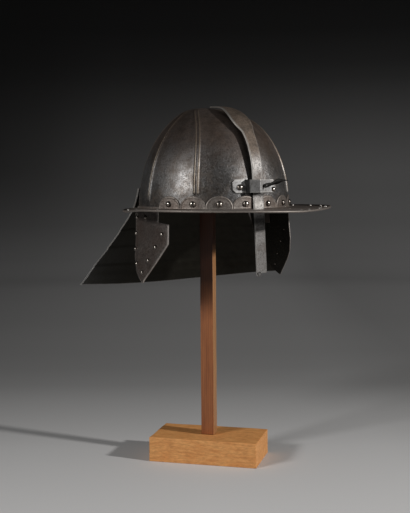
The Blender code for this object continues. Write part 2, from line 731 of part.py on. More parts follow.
def build_rivets(parts, seat, steel):
    flange = rivet_mesh("flange_rivet", FLANGE_RIVET, RIVET_SIDES)
    for lobe in range(2 * LOBES_A_SIDE):
        angle = (lobe + 0.5 - LOBES_A_SIDE) * LOBE_STEP
        radius = skull_radius(angle, FLANGE_RIVET_HEIGHT) + FLANGE_WALL + 2.5 * GAP
        point = at_angle(angle, radius, FLANGE_RIVET_HEIGHT)
        placement = facing(point, at_angle(angle, 1, 0))
        add_rivet(f"flange_rivet_{lobe + 1}", flange, placement, parts, seat, steel)
    guard = rivet_mesh("guard_rivet", GUARD_RIVET, RIVET_SIDES)
    top, under = GUARD_ROWS[0], GUARD_ROWS[1]
    share = ramp(top[0] - GUARD_RIVET_HEIGHT, 0, top[0] - under[0])
    row = [a + (b - a) * share for a, b in zip(top, under)]
    lean = Vector((0, 0, 0.22))
    for number, degrees in enumerate(GUARD_RIVET_ANGLES, start=1):
        angle = math.radians(degrees)
        normal = at_angle(angle, 1, 0) + lean
        point = guard_point(row, angle) + normal.normalized() * (GUARD_WALL + GAP + 0.1 * MM)
        add_rivet(f"guard_rivet_{number}", guard, facing(point, normal), parts, seat, steel)
    cheek = rivet_mesh("cheek_rivet", CHEEK_RIVET, 8)
    for word, side in (("right", -1), ("left", 1)):
        for number, (y, z) in enumerate(CHEEK_RIVETS, start=1):
            normal = cheek_normal(side, y, z)
            point = Vector((side * cheek_spread(y, z), y, z)) + normal * (GAP + 0.05 * MM)
            placement = facing(point, normal)
            add_rivet(f"cheek_rivet_{word}_{number}", cheek, placement, parts, seat, steel)
    for word, x, z, head_radius, head_height in STAPLE_RIVETS:
        staple = rivet_mesh(f"staple_rivet_{word}", (head_radius, head_height), RIVET_SIDES)
        slope_x = (skull_front(x + MM, z) - skull_front(x - MM, z)) / (2 * MM)
        slope_z = (skull_front(x, z + MM) - skull_front(x, z - MM)) / (2 * MM)
        normal = Vector((slope_x, -1, slope_z)).normalized()
        point = Vector((x, skull_front(x, z), z)) + normal * (STAPLE_WALL + 2 * GAP + 0.1 * MM)
        add_rivet(f"staple_rivet_{word}", staple, facing(point, normal), parts, seat, steel)


def add_rivet(name, mesh, placement, parts, seat, steel):
    rivet = bpy.data.objects.new(name, mesh)
    if not mesh.materials:
        mesh.materials.append(steel)
    parts.objects.link(rivet)
    rivet.parent = seat
    rivet.matrix_local = placement


# Stand

def build_box(name, size, centre_z, material, parts, turn):
    bpy.ops.mesh.primitive_cube_add(size=1)
    box = bpy.context.object
    box.name = name
    box.data.name = name
    box.data.transform(Matrix.Diagonal((*size, 1)))
    box.data.materials.append(material)
    box.location = (0, 0, centre_z)
    box.rotation_euler = (0, 0, turn)
    move_to(box, parts)
    return box


def build_stand(parts, post_wood, base_wood):
    size = (BASE_LENGTH, BASE_WIDTH, BASE_HEIGHT)
    base = build_box("stand_base", size, BASE_HEIGHT / 2, base_wood, parts, STAND_TURN)
    edge = base.modifiers.new("edge", "BEVEL")
    edge.width = BASE_EDGE
    edge.segments = 1
    foot = BASE_HEIGHT + GAP
    corner = POST_SIDE * math.sqrt(0.5) - POST_TOP_CHAMFER
    turns = [STAND_TURN + math.radians(45 + 90 * i) for i in range(4)]
    crown = min(crown_height(corner * math.cos(t), SKULL_FORWARD + corner * math.sin(t)) for t in turns)
    head = PEAK_PLANE + crown - SKULL_WALL - POST_CLEARANCE
    size = (POST_SIDE, POST_SIDE, head - foot)
    post = build_box("stand_post", size, (head + foot) / 2, post_wood, parts, STAND_TURN)
    bm = bmesh.new()
    bm.from_mesh(post.data)
    top = max(vert.co.z for vert in bm.verts)
    rim = [edge for edge in bm.edges if all(vert.co.z > top - MM for vert in edge.verts)]
    bmesh.ops.bevel(bm, geom=rim, offset=POST_TOP_CHAMFER, segments=1, affect="EDGES")
    bm.to_mesh(post.data)
    bm.free()


def main():
    clear_scene()
    parts = new_collection("cavalry_helmet")
    cutters = new_collection("cutters")
    dark = make_material("skull_steel", STEEL_DARK, 0.38, 1.0)
    brown = make_material("cheek_steel", STEEL_BROWN, 0.45, 1.0)
    grey = make_material("bar_steel", STEEL_GREY, 0.42, 1.0)
    black = make_material("screw_steel", STEEL_BLACK, 0.5, 1.0)
    guard_steel = make_material("guard_steel", STEEL_DARK, 0.5, 1.0)
    peak_steel = make_material("peak_steel", STEEL_BROWN, 0.4, 1.0)
    rivet_steel = make_material("rivet_steel", STEEL_GREY, 0.35, 1.0)
    leather = make_material("leather", LEATHER, 0.7, 0.0)
    post_wood = make_material("post_wood", WOOD_POST, 0.5, 0.0)
    base_wood = make_material("base_wood", WOOD_BASE, 0.55, 0.0)

    build_stand(parts, post_wood, base_wood)
    seat = bpy.data.objects.new("helmet_seat", None)
    parts.objects.link(seat)
    seat.location = (0, -SKULL_FORWARD, PEAK_PLANE)

    build_skull(parts, seat, dark)
    build_peak(parts, cutters, seat, peak_steel)
    build_guard(parts, seat, guard_steel)
    for word, side, outline in (("right", -1, CHEEK_ROWS_RIGHT), ("left", 1, CHEEK_ROWS_LEFT)):
        build_cheek(f"cheek_{word}", side, outline, parts, seat, brown)
        build_hanger(f"hanger_{word}", side, parts, seat, leather)
    build_bar(parts, seat, grey)
    build_staple(parts, cutters, seat, grey)
    build_screw(parts, cutters, seat, black)
    build_rivets(parts, seat, rivet_steel)


main()
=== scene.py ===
"""The cavalry helmet on its stand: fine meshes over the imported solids, materials, light and camera."""
from functools import partialmethod
from math import asin, atan2, copysign, cos, degrees, floor, hypot, pi, radians, sin, sqrt, tan, tau

import bmesh
import bpy
import numpy as np
from mathutils import Matrix, Vector, noise


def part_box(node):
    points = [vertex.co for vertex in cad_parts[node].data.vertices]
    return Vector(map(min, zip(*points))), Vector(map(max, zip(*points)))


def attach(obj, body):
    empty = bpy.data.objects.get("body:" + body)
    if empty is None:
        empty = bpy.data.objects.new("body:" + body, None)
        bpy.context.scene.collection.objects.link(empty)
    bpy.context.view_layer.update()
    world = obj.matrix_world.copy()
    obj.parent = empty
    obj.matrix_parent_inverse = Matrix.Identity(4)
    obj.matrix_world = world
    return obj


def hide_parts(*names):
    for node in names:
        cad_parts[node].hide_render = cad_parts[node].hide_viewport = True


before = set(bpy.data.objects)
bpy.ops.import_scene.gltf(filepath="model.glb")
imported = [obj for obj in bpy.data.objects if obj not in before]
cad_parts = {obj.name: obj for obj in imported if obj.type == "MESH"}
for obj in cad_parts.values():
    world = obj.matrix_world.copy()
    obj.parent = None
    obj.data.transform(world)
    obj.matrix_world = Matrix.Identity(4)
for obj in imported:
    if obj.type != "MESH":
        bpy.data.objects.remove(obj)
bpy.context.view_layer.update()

MM = 0.001
GAP = 0.3 * MM

# Stand
BASE_LENGTH = 161 * MM
BASE_WIDTH = 86 * MM
POST_SIDE = 19.5 * MM
TIMBER_EDGE = 0.9 * MM
STAND_TURN = radians(-47.2)

# Skull
SKULL_HALF_LENGTH = 110 * MM
SKULL_HALF_WIDTH = 107 * MM
SKULL_HEIGHT = 145.5 * MM
RISE_POWER = 2.18
ROUND_POWER = 2.08
CROWN_FROM = 90 * MM
CROWN_LEAN = 28 * MM
CROWN_LEAN_POWER = 12
SKULL_WALL = 1.7 * MM
SKULL_LIP = -1.0 * MM
RIB_COUNT = 8
RIB_HEIGHT = 2.0 * MM
RIB_HALF_FOOT = 4.7 * MM
RIB_STARTS = (  # mm above the peak where each rib begins, mm it rises over, from the front by the left
    (20, 4.5), (20, 4.5), (8, 14), (31, 4.5), (31, 4.5), (31, 4.5), (8, 14), (20, 4.5),
)
RIB_MAX_SHARE = 0.4
RIB_BENT = 7
RIB_BENT_TURN = radians(-14.4)
RIB_BENT_POWER = 6
RIB_WORN = 6  # one ridge is worn
RIB_WORN_SHARE = 0.4
RIB_SHAPE = (  # mm from the rib's middle, share of its height
    (0.0, 0.34), (0.7, 0.35), (1.3, 0.42), (1.8, 0.66), (2.2, 0.92), (2.6, 1.0), (3.0, 0.9),
    (3.4, 0.66), (3.9, 0.36), (4.5, 0.19), (5.2, 0.09), (6.2, 0.03), (7.6, 0.0), (10.8, 0.0),
)
RIB_SECTION = [(-offset, share) for offset, share in RIB_SHAPE[:0:-1]] + [*RIB_SHAPE]
SKULL_LOW_ROWS = (-1, 3, *range(7, 20, 2), *range(20, 26), 26.5, 28.5, *range(30, 37))
SKULL_HIGH_ROWS = 54
PANEL_COLUMNS = 9
PANEL_FLATNESS = 0.22
DENT = 0.22 * MM

# Peak
PEAK_RADIUS = 147.5 * MM
PEAK_FORWARD = 35 * MM
PEAK_WALL = 1.5 * MM
PEAK_ROLL = 3.8 * MM
PEAK_BEAD = 1.6 * MM
PEAK_BEND = (  # degrees from the front, mm the outer edge hangs
    (-118, 2.0), (-106, 2.8), (-90, 2.8), (-82, 1.4), (-72, -0.4), (-56, -0.2), (-20, 0.2), (-6, 1.4),
    (8, 2.2), (20, 0.9), (30, -0.4), (44, -1.4), (58, -1.0), (74, -0.4), (90, 0.0), (118, 0.0),
)
PEAK_BEND_START = 3 * MM
PEAK_END = radians(118.5)
PEAK_ROUND_FROM = radians(109)
FLANGE_WALL = 1.2 * MM
LOBE_STEP = radians(19)
LOBE_EDGE = 4 * LOBE_STEP
LOBE_CENTRES = [(lobe - 3.5) * LOBE_STEP for lobe in range(8)]
LOBE_VALLEY = 5.0 * MM
LOBE_CROWN = 20.0 * MM
SLOT_CLEARANCE = 0.6 * MM

# Neck guard
GUARD_ROWS = (  # mm: height, half width, reach behind
    (30, 106.0, 109.0), (14, 109.6, 113.0), (-2, 115.0, 119.4), (-12, 120.6, 125.4), (-31, 133.0, 137.8),
    (-55, 151.0, 154.4), (-79, 171.4, 172.8), (-94, 184.0, 184.4), (-104, 193.0, 193.2),
)
GUARD_LAMES = (-12, -31, -55, -79, -104)
GUARD_COLUMNS = 120
GUARD_DIP = 20.5 * MM
GUARD_FRONT_TOP = radians(120.5)
GUARD_FRONT_FOOT = radians(114.2)
GUARD_WALL = 1.4 * MM

# Cheek pieces
SIDES = (("right", -1), ("left", 1))
CHEEK_ROWS = {  # mm: height, front edge, rear edge
    "right": (
        (-1.5, -19.5, 50.5), (-16, -20.5, 48.5), (-19, -46, 48), (-45, -48.9, 43.5), (-66, -31.8, 39),
        (-86, -14.6, 25), (-95, -6.6, 12), (-101, -2.6, -0.2),
    ),
    "left": (
        (-1.5, -47.4, 50.5), (-16, -48.2, 48.5), (-45, -48, 43.5), (-64, -41.8, 39.5), (-76, -31.9, 33),
        (-87, -20.2, 24), (-96, -10.2, 10.5), (-103, -3, -0.6),
    ),
}
CHEEK_WALL = 1.7 * MM
CHEEK_BEND_RADIUS = 200 * MM
CHEEK_COLUMNS = 44
CHEEK_RIVETS = (
    (42.5, -11.5), (13.5, -10.5), (42.0, -34.5), (-33.0, -32.5), (38.5, -56.0), (-20.5, -50.5),
    (26.0, -76.0), (-6.0, -70.0), (4.5, -87.0),
)

# Nasal bar
NASAL_TILT = radians(4.0)
NASAL_WIDTH = 17.4
NASAL_WALL = 2.2 * MM
NASAL_BACK = 111.9 * MM
NASAL_FOOT = -84.5
NASAL_PATH = (  # mm: how far to the rear, height, width
    (-109.2, 62, 17.4), (-103.6, 80, 17.4), (-95.4, 97, 18.0), (-89.0, 107, 20.0), (-82.2, 115.3, 27.0),
    (-75.0, 122.6, 30.5), (-61.0, 133, 29.0), (-44.0, 140.2, 22.0), (-25.0, 143.8, 13.0), (-8.0, 145.1, 6.5),
    (6.0, 145.8, 1.6),
)
BAR_SECTION = (  # share of the half width, share of the edge's inset, share of the half thickness, wear, which on the left edge is also a painted highlight
    (-1, 0.3, -1, 0), (0, 0, -1, 0), (1, -0.3, -1, 0), (1, 0, -0.6, 0.1), (1, 0, 0, 0.3),
    (1, -0.35, 0.62, 0.5), (1, -1, 0.95, 0.2), (1, -1.9, 1, 0), (0.4, 0, 1, 0), (0, 0, 1, 0),
    (-0.4, 0, 1, 0), (-1, 1.9, 1, 0), (-1, 1, 0.95, 0.5), (-1, 0.35, 0.62, 1), (-1, 0, 0, 0.7),
    (-1, 0, -0.6, 0.3),
)
LEAF_CUP_RADIUS = 60 * MM
LEAF_CUP_START = 97 * MM
LEAF_CUP_RUN = 15 * MM

# Staple
STAPLE_HEIGHT_CENTRE = 32.7 * MM
STAPLE_HALF_HEIGHT = 8.8 * MM
STAPLE_END_HALF_HEIGHT = 5.0 * MM
STAPLE_WALL = 1.6 * MM
STAPLE_LEG = -15.7 * MM
STAPLE_CREASE = -1.5 * MM
STAPLE_SLOPE_END = 24.0 * MM
STAPLE_REACH = 34.6 * MM
STAPLE_CHAMFER = 3.6 * MM
BRIDGE_CLEARANCE = 2.6 * MM
BRIDGE_LEAN = 3.2 * MM
STAPLE_LEANS = (  # how far the bridge leans out along the width
    (STAPLE_LEG, 0.0), (STAPLE_LEG + 0.5 * MM, 0.1 * MM),
    (STAPLE_CREASE - 0.8 * MM, BRIDGE_LEAN - 0.18 * MM), (STAPLE_CREASE, BRIDGE_LEAN),
)
STAPLE_RIVETS = (  # mm: x, z, radius, height
    ("right", -25.2, 31.0, 4.3, 3.3), ("left", 29.4, 27.8, 3.7, 3.0),
)

# Thumb screw
SCREW_TURN = radians(61)
SCREW_RISE = radians(15)
SCREW_SIDE = 3.5 * MM
SCREW_DROP = 1.6 * MM
SCREW_HOLE_RADIUS = 2.3 * MM
SCREW_ROWS = (  # mm: along the screw, half width, half thickness, rise
    (1.6, 1.75, 1.75, 0.0), (5.3, 1.75, 1.75, 0.0), (6.0, 2.6, 2.2, 0.0), (8.0, 2.9, 1.6, 0.1),
    (11.5, 2.8, 1.5, 0.1), (16.5, 2.1, 1.5, 0.1), (21.0, 2.7, 1.5, 0.5), (26.0, 3.4, 1.4, 1.0),
    (29.0, 3.1, 1.3, 1.1), (32.5, 1.8, 1.1, 0.7), (36.5, 1.1, 0.8, -0.2), (41.5, 0.4, 0.4, -1.6),
)
SCREW_EYE = 9.6 * MM
SCREW_EYE_RADIUS = 1.1 * MM

# Rivets: radius and height of the heads in mm
FLANGE_RIVET = (4.4, 3.4)
GUARD_RIVET = (3.6, 2.6)
CHEEK_RIVET = (3.3, 2.8)
CHEEK_TAIL = (1.3, 0.6)  # the end inside a cheek piece
LINING_RIVET = (2.4, 2.1)
FLANGE_RIVET_HEIGHT = 9.0 * MM
GUARD_RIVET_HEIGHT = 22 * MM
RIVET_SIDES = 20
GUARD_RIVET_ANGLES = (131, 155, 180, 205, 229)
LINING_RIVET_ANGLES = (-98, -80, -61.5, -36.2, -34.2, -14, 9.5, 15, 26.5, 41, 57, 70, 86, 102)

# The skull's centre in the peak's plane, which the helmet's meshes are measured from
SEAT = Vector((0.0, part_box("peak")[0].y + PEAK_FORWARD + PEAK_RADIUS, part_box("skull")[0].z - SKULL_LIP))
BASE_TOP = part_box("stand_base")[1].z
POST_LOW, POST_HIGH = (corner.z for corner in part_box("stand_post"))
# where the painted shade of the helmet on the post begins and is full, in the post's own axes, from its
# middle
POST_PAINTED_SHADE_LOW, POST_PAINTED_SHADE_HIGH = (z - (POST_LOW + POST_HIGH) / 2 for z in (0.205, 0.268))


# Meshes

def numbered(rows, columns, ring=False, start=0):
    """Vertex numbers of a grid. A ring has its first column once more at the end."""
    index = start + np.arange(rows * columns).reshape(rows, columns)
    return np.append(index, index[:, :1], axis=1) if ring else index


def quads(index):
    """The faces between neighbouring rows and columns of vertex numbers."""
    corners = index[:-1, :-1], index[:-1, 1:], index[1:, 1:], index[1:, :-1]
    return np.stack(corners, -1).reshape(-1, 4).tolist()


MARKS = ("wear", "aged", "shade", "inside")  # numbers for the materials, after a cell's points


def grids(rows):
    """One grid for each point and mark that the cells of the rows hold."""
    return [[[cell[k] for cell in row] for row in rows] for k in range(len(rows[0][0]))]


def soften(mesh, smooth_angle):
    mesh.shade_smooth()
    if smooth_angle:
        mesh.set_sharp_from_angle(angle=radians(smooth_angle))


def finish_mesh(name, verts, faces, smooth_angle=35, closed=True, **marks):
    mesh = bpy.data.meshes.new(name)
    mesh.from_pydata([tuple(v) for v in verts], [], faces)
    if closed:
        bm = bmesh.new()
        bm.from_mesh(mesh)
        bmesh.ops.recalc_face_normals(bm, faces=bm.faces)
        bm.to_mesh(mesh)
        bm.free()
    for mark, values in marks.items():
        layer = mesh.attributes.new(mark, "FLOAT", "POINT")
        layer.data.foreach_set("value", np.ravel(values).astype(np.float32))
    soften(mesh, smooth_angle)
    return mesh


def slab(name, rows, smooth_angle, ring=False, tips=()):
    """A closed solid from cells of an outer and an inner point and marks, with a rim all round.

    Two tips close its last rows in place of the rim there.
    """
    outer, inner, *values = grids(rows)
    points = np.array([outer, inner], float)
    _, rows, columns, _ = points.shape
    count = rows * columns
    index = np.stack([numbered(rows, columns, ring, start) for start in (0, count)])
    faces = quads(index[0]) + quads(index[1]) + quads(index[:, 0])
    if tips:
        for tip, last in enumerate(index[:, -1].tolist(), 2 * count):
            faces += [(a, b, tip) for a, b in zip(last, last[1:])]
    else:
        faces += quads(index[:, -1, ::-1])
    bare, dark = np.zeros((rows, columns)), np.ones((rows, columns))
    dark[0] = dark[-1] = 0.0
    if not ring:
        faces += quads(index[:, :, 0]) + quads(index[:, ::-1, -1])
        dark[:, 0] = dark[:, -1] = 0.0
    verts = np.concatenate([points.reshape(-1, 3), np.reshape(tips, (-1, 3))]) + np.array(SEAT)
    parts = {mark: (grid, bare, (grid[-1][0], 0.0)) for mark, grid in zip(MARKS, values)}
    parts["inside"] = bare, dark, (0.0, 1.0)
    marks = {mark: np.concatenate([np.ravel(part) for part in three])[:len(verts)]
             for mark, three in parts.items()}
    return finish_mesh(name, verts, faces, smooth_angle, **marks)


def loft(name, rows, smooth_angle, offset=SEAT):
    """A closed solid through a run of closed sections, from cells of a point and marks."""
    points, *values = grids(rows)
    index = numbered(len(rows), len(rows[0]), True)
    faces = quads(index) + index[[0, -1], :-1].tolist()
    verts = np.reshape(points, (-1, 3)) + np.array(offset)
    return finish_mesh(name, verts, faces, smooth_angle, **dict(zip(MARKS, values)))


def link(name, data):
    piece = bpy.data.objects.new(name, data)
    bpy.context.scene.collection.objects.link(piece)
    return piece


def baked(piece):
    """The piece's mesh after its modifiers. The piece itself goes."""
    bpy.context.view_layer.update()
    mesh = bpy.data.meshes.new_from_object(piece.evaluated_get(bpy.context.evaluated_depsgraph_get()))
    bpy.data.objects.remove(piece)
    return mesh


def carve(mesh, make, matrix, **size):
    """The mesh less a bmesh primitive, as a new mesh."""
    cutter_mesh = bpy.data.meshes.new("cutter")
    bm = bmesh.new()
    make(bm, **size)
    bmesh.ops.transform(bm, matrix=matrix, verts=bm.verts)
    bm.to_mesh(cutter_mesh)
    bm.free()
    body, cutter = link("carve_body", mesh), link("carve_cutter", cutter_mesh)
    boolean = body.modifiers.new("cut", "BOOLEAN")
    boolean.solver = "EXACT"
    boolean.object = cutter
    result = baked(body)
    bpy.data.objects.remove(cutter)
    return result


def drill(mesh, matrix, radius, sides):
    return carve(mesh, bmesh.ops.create_cone, matrix, cap_ends=True, segments=sides, radius1=radius,
                 radius2=radius, depth=8 * MM)


def bevel(piece, width, angle):
    edge = piece.modifiers.new("edge", "BEVEL")
    edge.width, edge.segments, edge.harden_normals = width, 2, True
    edge.limit_method, edge.angle_limit = "ANGLE", radians(angle)


def add_piece(name, mesh, slot, *nodes, body="helmet", look=None, matrix=Matrix()):
    """A piece in its slot's own material, or in another look, in place of CAD nodes."""
    piece = link(name, mesh)
    mesh.materials.append(MATERIALS[look or slot])
    piece.matrix_world = matrix
    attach(piece, body)
    if nodes:
        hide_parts(*nodes)
    return piece


def ramp(value, start, run):
    return min(1.0, max(0.0, (value - start) / run))


def ease(share):
    return share * share * (3 - 2 * share)


def bump(distance, centre, half_width):
    """1 at the centre, easing to 0 at the half width."""
    return ease(max(0.0, 1 - abs(distance - centre) / half_width))


def spline(keys, values, at):
    """Smooth curve through the values (Catmull-Rom on uneven keys)."""
    if keys[0] > keys[-1]:
        keys, values = keys[::-1], values[::-1]
    slopes = np.gradient(values, keys, axis=0)
    at = np.clip(at, keys[0], keys[-1])
    i = min(len(keys) - 2, max(0, int(np.searchsorted(keys, at, "right")) - 1))
    h = keys[i + 1] - keys[i]
    t = (at - keys[i]) / h
    pull = t * (1 - t) * h * ((1 - t) * slopes[i] - t * slopes[i + 1])
    return values[i] + (values[i + 1] - values[i]) * ease(t) + pull


def wobble(point, scale, seed=0.0):
    return noise.noise(Vector((point[0] * scale + seed, point[1] * scale - seed, point[2] * scale)))


def at_angle(angle, radius, z):
    return Vector((radius * sin(angle), -radius * cos(angle), z))


def oval(angle, across, along):
    """Radius of an ellipse at an angle from its long axis."""
    return 1.0 / hypot(sin(angle) / across, cos(angle) / along)


# Materials

MATERIALS = {}


class Look:
    """A material in the making, with short calls for its nodes."""

    def __init__(self, name):
        material = MATERIALS[name] = bpy.data.materials.new(name)
        material.use_nodes = True
        self.tree = material.node_tree
        self.place = self.node("TexCoord").outputs["Object"]

    def put(self, value, socket):
        if isinstance(value, bpy.types.NodeSocket):
            self.tree.links.new(value, socket)
        else:
            socket.default_value = (*value, 1) if socket.type == "RGBA" else value

    def node(self, kind, inputs=None, **settings):
        made = self.tree.nodes.new(f"ShaderNode{kind}")
        for key, value in settings.items():
            setattr(made, key, value)
        for key, value in (inputs or {}).items():
            self.put(value, made.inputs[key])
        return made

    def reckon(self, operation, a, b=0.0):
        return self.node("Math", {0: a, 1: b}, operation=operation).outputs[0]

    plus = partialmethod(reckon, "ADD")
    less = partialmethod(reckon, "SUBTRACT")
    times = partialmethod(reckon, "MULTIPLY")
    most = partialmethod(reckon, "MAXIMUM")

    def vector(self, operation, *inputs):
        return self.node("VectorMath", dict(enumerate(inputs)), operation=operation).outputs

    def blend(self, cloud, share, other):
        return self.plus(self.times(cloud, share), self.times(other, 1 - share))

    def mark(self, name):
        return self.node("Attribute", attribute_name=name).outputs["Fac"]

    def mix(self, factor, a, b, blend="MIX"):
        return self.node("Mix", {0: factor, 6: a, 7: b}, data_type="RGBA", blend_type=blend).outputs[2]

    def ramp(self, factor, *stops):
        made = self.node("ValToRGB", {0: factor})
        ends = made.color_ramp.elements
        ends[0].position, ends[1].position = stops[0][0], stops[-1][0]
        for position, _ in stops[1:-1]:
            ends.new(position)
        for element, (_, value) in zip(ends, stops):
            element.color = (*value, 1) if isinstance(value, tuple) else (value, value, value, 1)
        return made.outputs[0]

    def along(self, axis, tones):
        """A tone read off a table by the distance along an axis."""
        start, span = tones[0][0], tones[-1][0] - tones[0][0]
        distance = self.vector("DOT_PRODUCT", self.place, axis)["Value"]
        stops = [((at - start) / span, tone) for at, tone in tones]
        return self.ramp(self.times(self.less(distance, start), 1 / span), *stops)

    def noise(self, place, scale, detail, roughness=0.55, distortion=0.0):
        return self.node("TexNoise", {"Vector": place, "Scale": scale, "Detail": detail,
                                      "Roughness": roughness, "Distortion": distortion}).outputs["Fac"]

    def bump(self, strength, distance_mm, height, **normal):
        inputs = {"Strength": strength, "Distance": distance_mm * MM, "Height": height, **normal}
        return self.node("Bump", inputs).outputs[0]

    def finish(self, sockets):
        for key, value in sockets.items():
            self.put(value, self.tree.nodes["Principled BSDF"].inputs[key])


INSIDE_BLACK_AND_SHADE = (0.008, 0.0075, 0.006)  # the unpolished inner faces, blackened, and darker still as painted shade
INSIDE_BLACK_AND_SHADE_PALE = (0.03, 0.028, 0.022)
# near-black colour of the shade mark: painted shade and shadow
SHADE_BLACK = (0.004, 0.0036, 0.0032)


def steel(name, clean, dull, stain, worn, rough, cover=0.5, hammer=0.6, pits=0.3, seed=0.0, metal=0.9,
          crust=0.6, aged_colour=(0.15, 0.105, 0.08)):
    """Old steel: clean metal under dull patches and a brown crust, with worn edges, dents and pits."""
    look = Look(name)
    place = look.vector("ADD", look.place, (seed, 0.37 * seed, 0.73 * seed))[0]
    broad = look.noise(place, 18, 5, 0.62, 0.3)
    cloud = look.noise(place, 85, 6, 0.68, 0.2)
    fine = look.noise(place, 420, 5, 0.7)
    wear, aged, shade, inside = map(look.mark, MARKS)
    colour = look.mix(look.ramp(broad, (0.36, 0.0), (0.64, 1.0)), clean, dull)
    stain_and_shade = look.ramp(look.blend(cloud, 0.62, broad), (0.64 - 0.3 * cover, 0.0), (0.86 - 0.3 * cover, 1.0))
    colour = look.mix(stain_and_shade, colour, stain)
    old = look.mix(look.ramp(cloud, (0.38, 0.0), (0.62, 1.0)), aged_colour, 0.45 * Vector(aged_colour))
    colour = look.mix(aged, colour, old)
    colour = look.mix(look.ramp(fine, (0.5, 0.0), (0.66, 0.8)), colour, 0.45 * Vector(stain))
    colour = look.mix(look.times(wear, 0.85), colour, worn)
    # painted shade: the shade mark darkens the colour towards near-black and, with the inside mark, lowers
    # the sheen
    colour = look.mix(shade, colour, SHADE_BLACK)
    # inner faces: blackened steel, made darker still as painted shade
    colour = look.mix(inside, colour, look.mix(cloud, INSIDE_BLACK_AND_SHADE, INSIDE_BLACK_AND_SHADE_PALE))
    dark = look.most(inside, shade)
    crusted = look.times(look.most(stain_and_shade, look.most(aged, dark)), look.less(1.0, wear))
    gloss = look.ramp(look.blend(cloud, 0.6, fine), (0.38, rough[0]), (0.64, rough[1]))
    dents = look.bump(hammer, 0.6, look.noise(place, 55, 2, 0.5))
    pitted = look.bump(pits, 0.26, look.ramp(fine, (0.3, 0.0), (0.46, 1.0)), Normal=dents)
    look.finish({
        "Base Color": colour,
        "Metallic": look.less(metal, look.times(crusted, crust)),
        "Specular IOR Level": look.less(0.5, look.times(dark, 0.45)),
        "Roughness": look.plus(gloss, look.times(aged, 0.08)),
        "Normal": look.bump(0.25, 0.03, look.noise(place, 1500, 3, 0.6), Normal=pitted),
    })


def leather(name):
    look = Look(name)
    broad = look.noise(look.place, 40, 4)
    cells = look.node("TexVoronoi", {"Vector": look.place, "Scale": 900}).outputs["Distance"]
    look.finish({
        "Base Color": look.ramp(broad, (0.3, (0.016, 0.01, 0.007)), (0.7, (0.036, 0.023, 0.015))),
        "Roughness": look.ramp(broad, (0.3, 0.75), (0.7, 0.5)),
        "Normal": look.bump(0.5, 0.2, cells),
    })


def wood(name, pale, middle, dark, rough, gloss, along, pith, ring_scale, stretch_share=0.055,
         fibre_scale=900, band_share=0.55, fibre_share=0.35, stain_and_shade=None, painted_lit_side=None):
    """Timber: growth rings round a pith line along one axis, with fibres drawn out along it."""
    look = Look(name)
    stretch, flat = [1.0] * 3, [1.0] * 3
    stretch[along], flat[along] = stretch_share, 0.02
    flow = look.node("Mapping", {"Vector": look.place, "Scale": stretch}).outputs[0]
    fibre = look.noise(flow, fibre_scale, 4, 0.65)
    centred = look.vector("SUBTRACT", look.place, pith)[0]
    distance = look.vector("LENGTH", look.vector("MULTIPLY", centred, flat)[0])["Value"]
    warped = look.plus(distance, look.times(look.noise(flow, 22, 3, 0.5), 0.016))
    rings = look.reckon("FRACT", look.times(warped, ring_scale))
    band = look.ramp(rings, (0.0, 0.15), (0.55, 0.45), (0.88, 1.0), (0.97, 0.75), (1.0, 0.15))
    colour = look.ramp(look.noise(flow, 160, 4, 0.6), (0.3, pale), (0.7, middle))
    colour = look.mix(look.times(band, band_share), colour, dark)
    threads = look.ramp(fibre, (0.35, 0.0), (0.75, 1.0))
    colour = plain = look.mix(look.times(threads, fibre_share), colour, 0.55 * Vector(dark))
    if stain_and_shade:
        # painted shade of the helmet over the post's upper part
        climb = look.along((0, 0, 1), ((POST_PAINTED_SHADE_LOW, 0.0), (POST_PAINTED_SHADE_HIGH, 1.0)))
        colour = look.mix(climb, colour, look.mix(1.0, colour, stain_and_shade, "MULTIPLY"))
        # painted highlight on the post's face towards the right lamp, without the painted shade
        colour = look.mix(look.mark("painted_lit_side"), colour, look.mix(1.0, plain, painted_lit_side, "MULTIPLY"))
    look.finish({
        "Base Color": colour,
        "Roughness": look.ramp(fibre, (0.3, rough[0]), (0.7, rough[1])),
        "Specular IOR Level": gloss,
        "Normal": look.bump(0.35, 0.12, look.plus(fibre, look.times(band, 0.5))),
    })


steel("skull_steel", (0.205, 0.205, 0.207), (0.125, 0.115, 0.106), (0.1, 0.074, 0.056), (0.4, 0.32, 0.23),
      (0.35, 0.53), cover=0.52, hammer=0.9, pits=0.5, aged_colour=(0.1, 0.064, 0.045))
steel("peak_steel", (0.26, 0.235, 0.215), (0.17, 0.14, 0.12), (0.12, 0.082, 0.062), (0.22, 0.195, 0.175),
      (0.42, 0.58), pits=0.5, seed=3.1, metal=0.7, crust=0.5)
steel("guard_steel", (0.47, 0.47, 0.475), (0.3, 0.29, 0.28), (0.18, 0.145, 0.12), (0.55, 0.53, 0.5),
      (0.38, 0.56), cover=0.55, seed=5.7)
steel("cheek_steel", (0.23, 0.205, 0.19), (0.135, 0.108, 0.094), (0.065, 0.045, 0.036), (0.5, 0.47, 0.44),
      (0.36, 0.56), cover=0.72, pits=1.0, seed=8.3, crust=0.4)
steel("bar_steel", (0.32, 0.312, 0.305), (0.195, 0.186, 0.178), (0.12, 0.088, 0.068), (0.55, 0.53, 0.5),
      (0.46, 0.62), cover=0.42, hammer=0.35, pits=1.0, seed=11.9, metal=0.85, crust=0.5,
      aged_colour=(0.205, 0.152, 0.112))
steel("staple_steel", (0.55, 0.55, 0.55), (0.42, 0.415, 0.41), (0.24, 0.2, 0.17), (0.7, 0.68, 0.65),
      (0.42, 0.58), cover=0.38, hammer=0.3, pits=0.6, seed=14.2, metal=0.5, crust=0.3)
steel("screw_steel", (0.02, 0.019, 0.018), (0.013, 0.012, 0.011), (0.012, 0.01, 0.008), (0.1, 0.095, 0.09),
      (0.45, 0.62), hammer=0.3, seed=17.0)
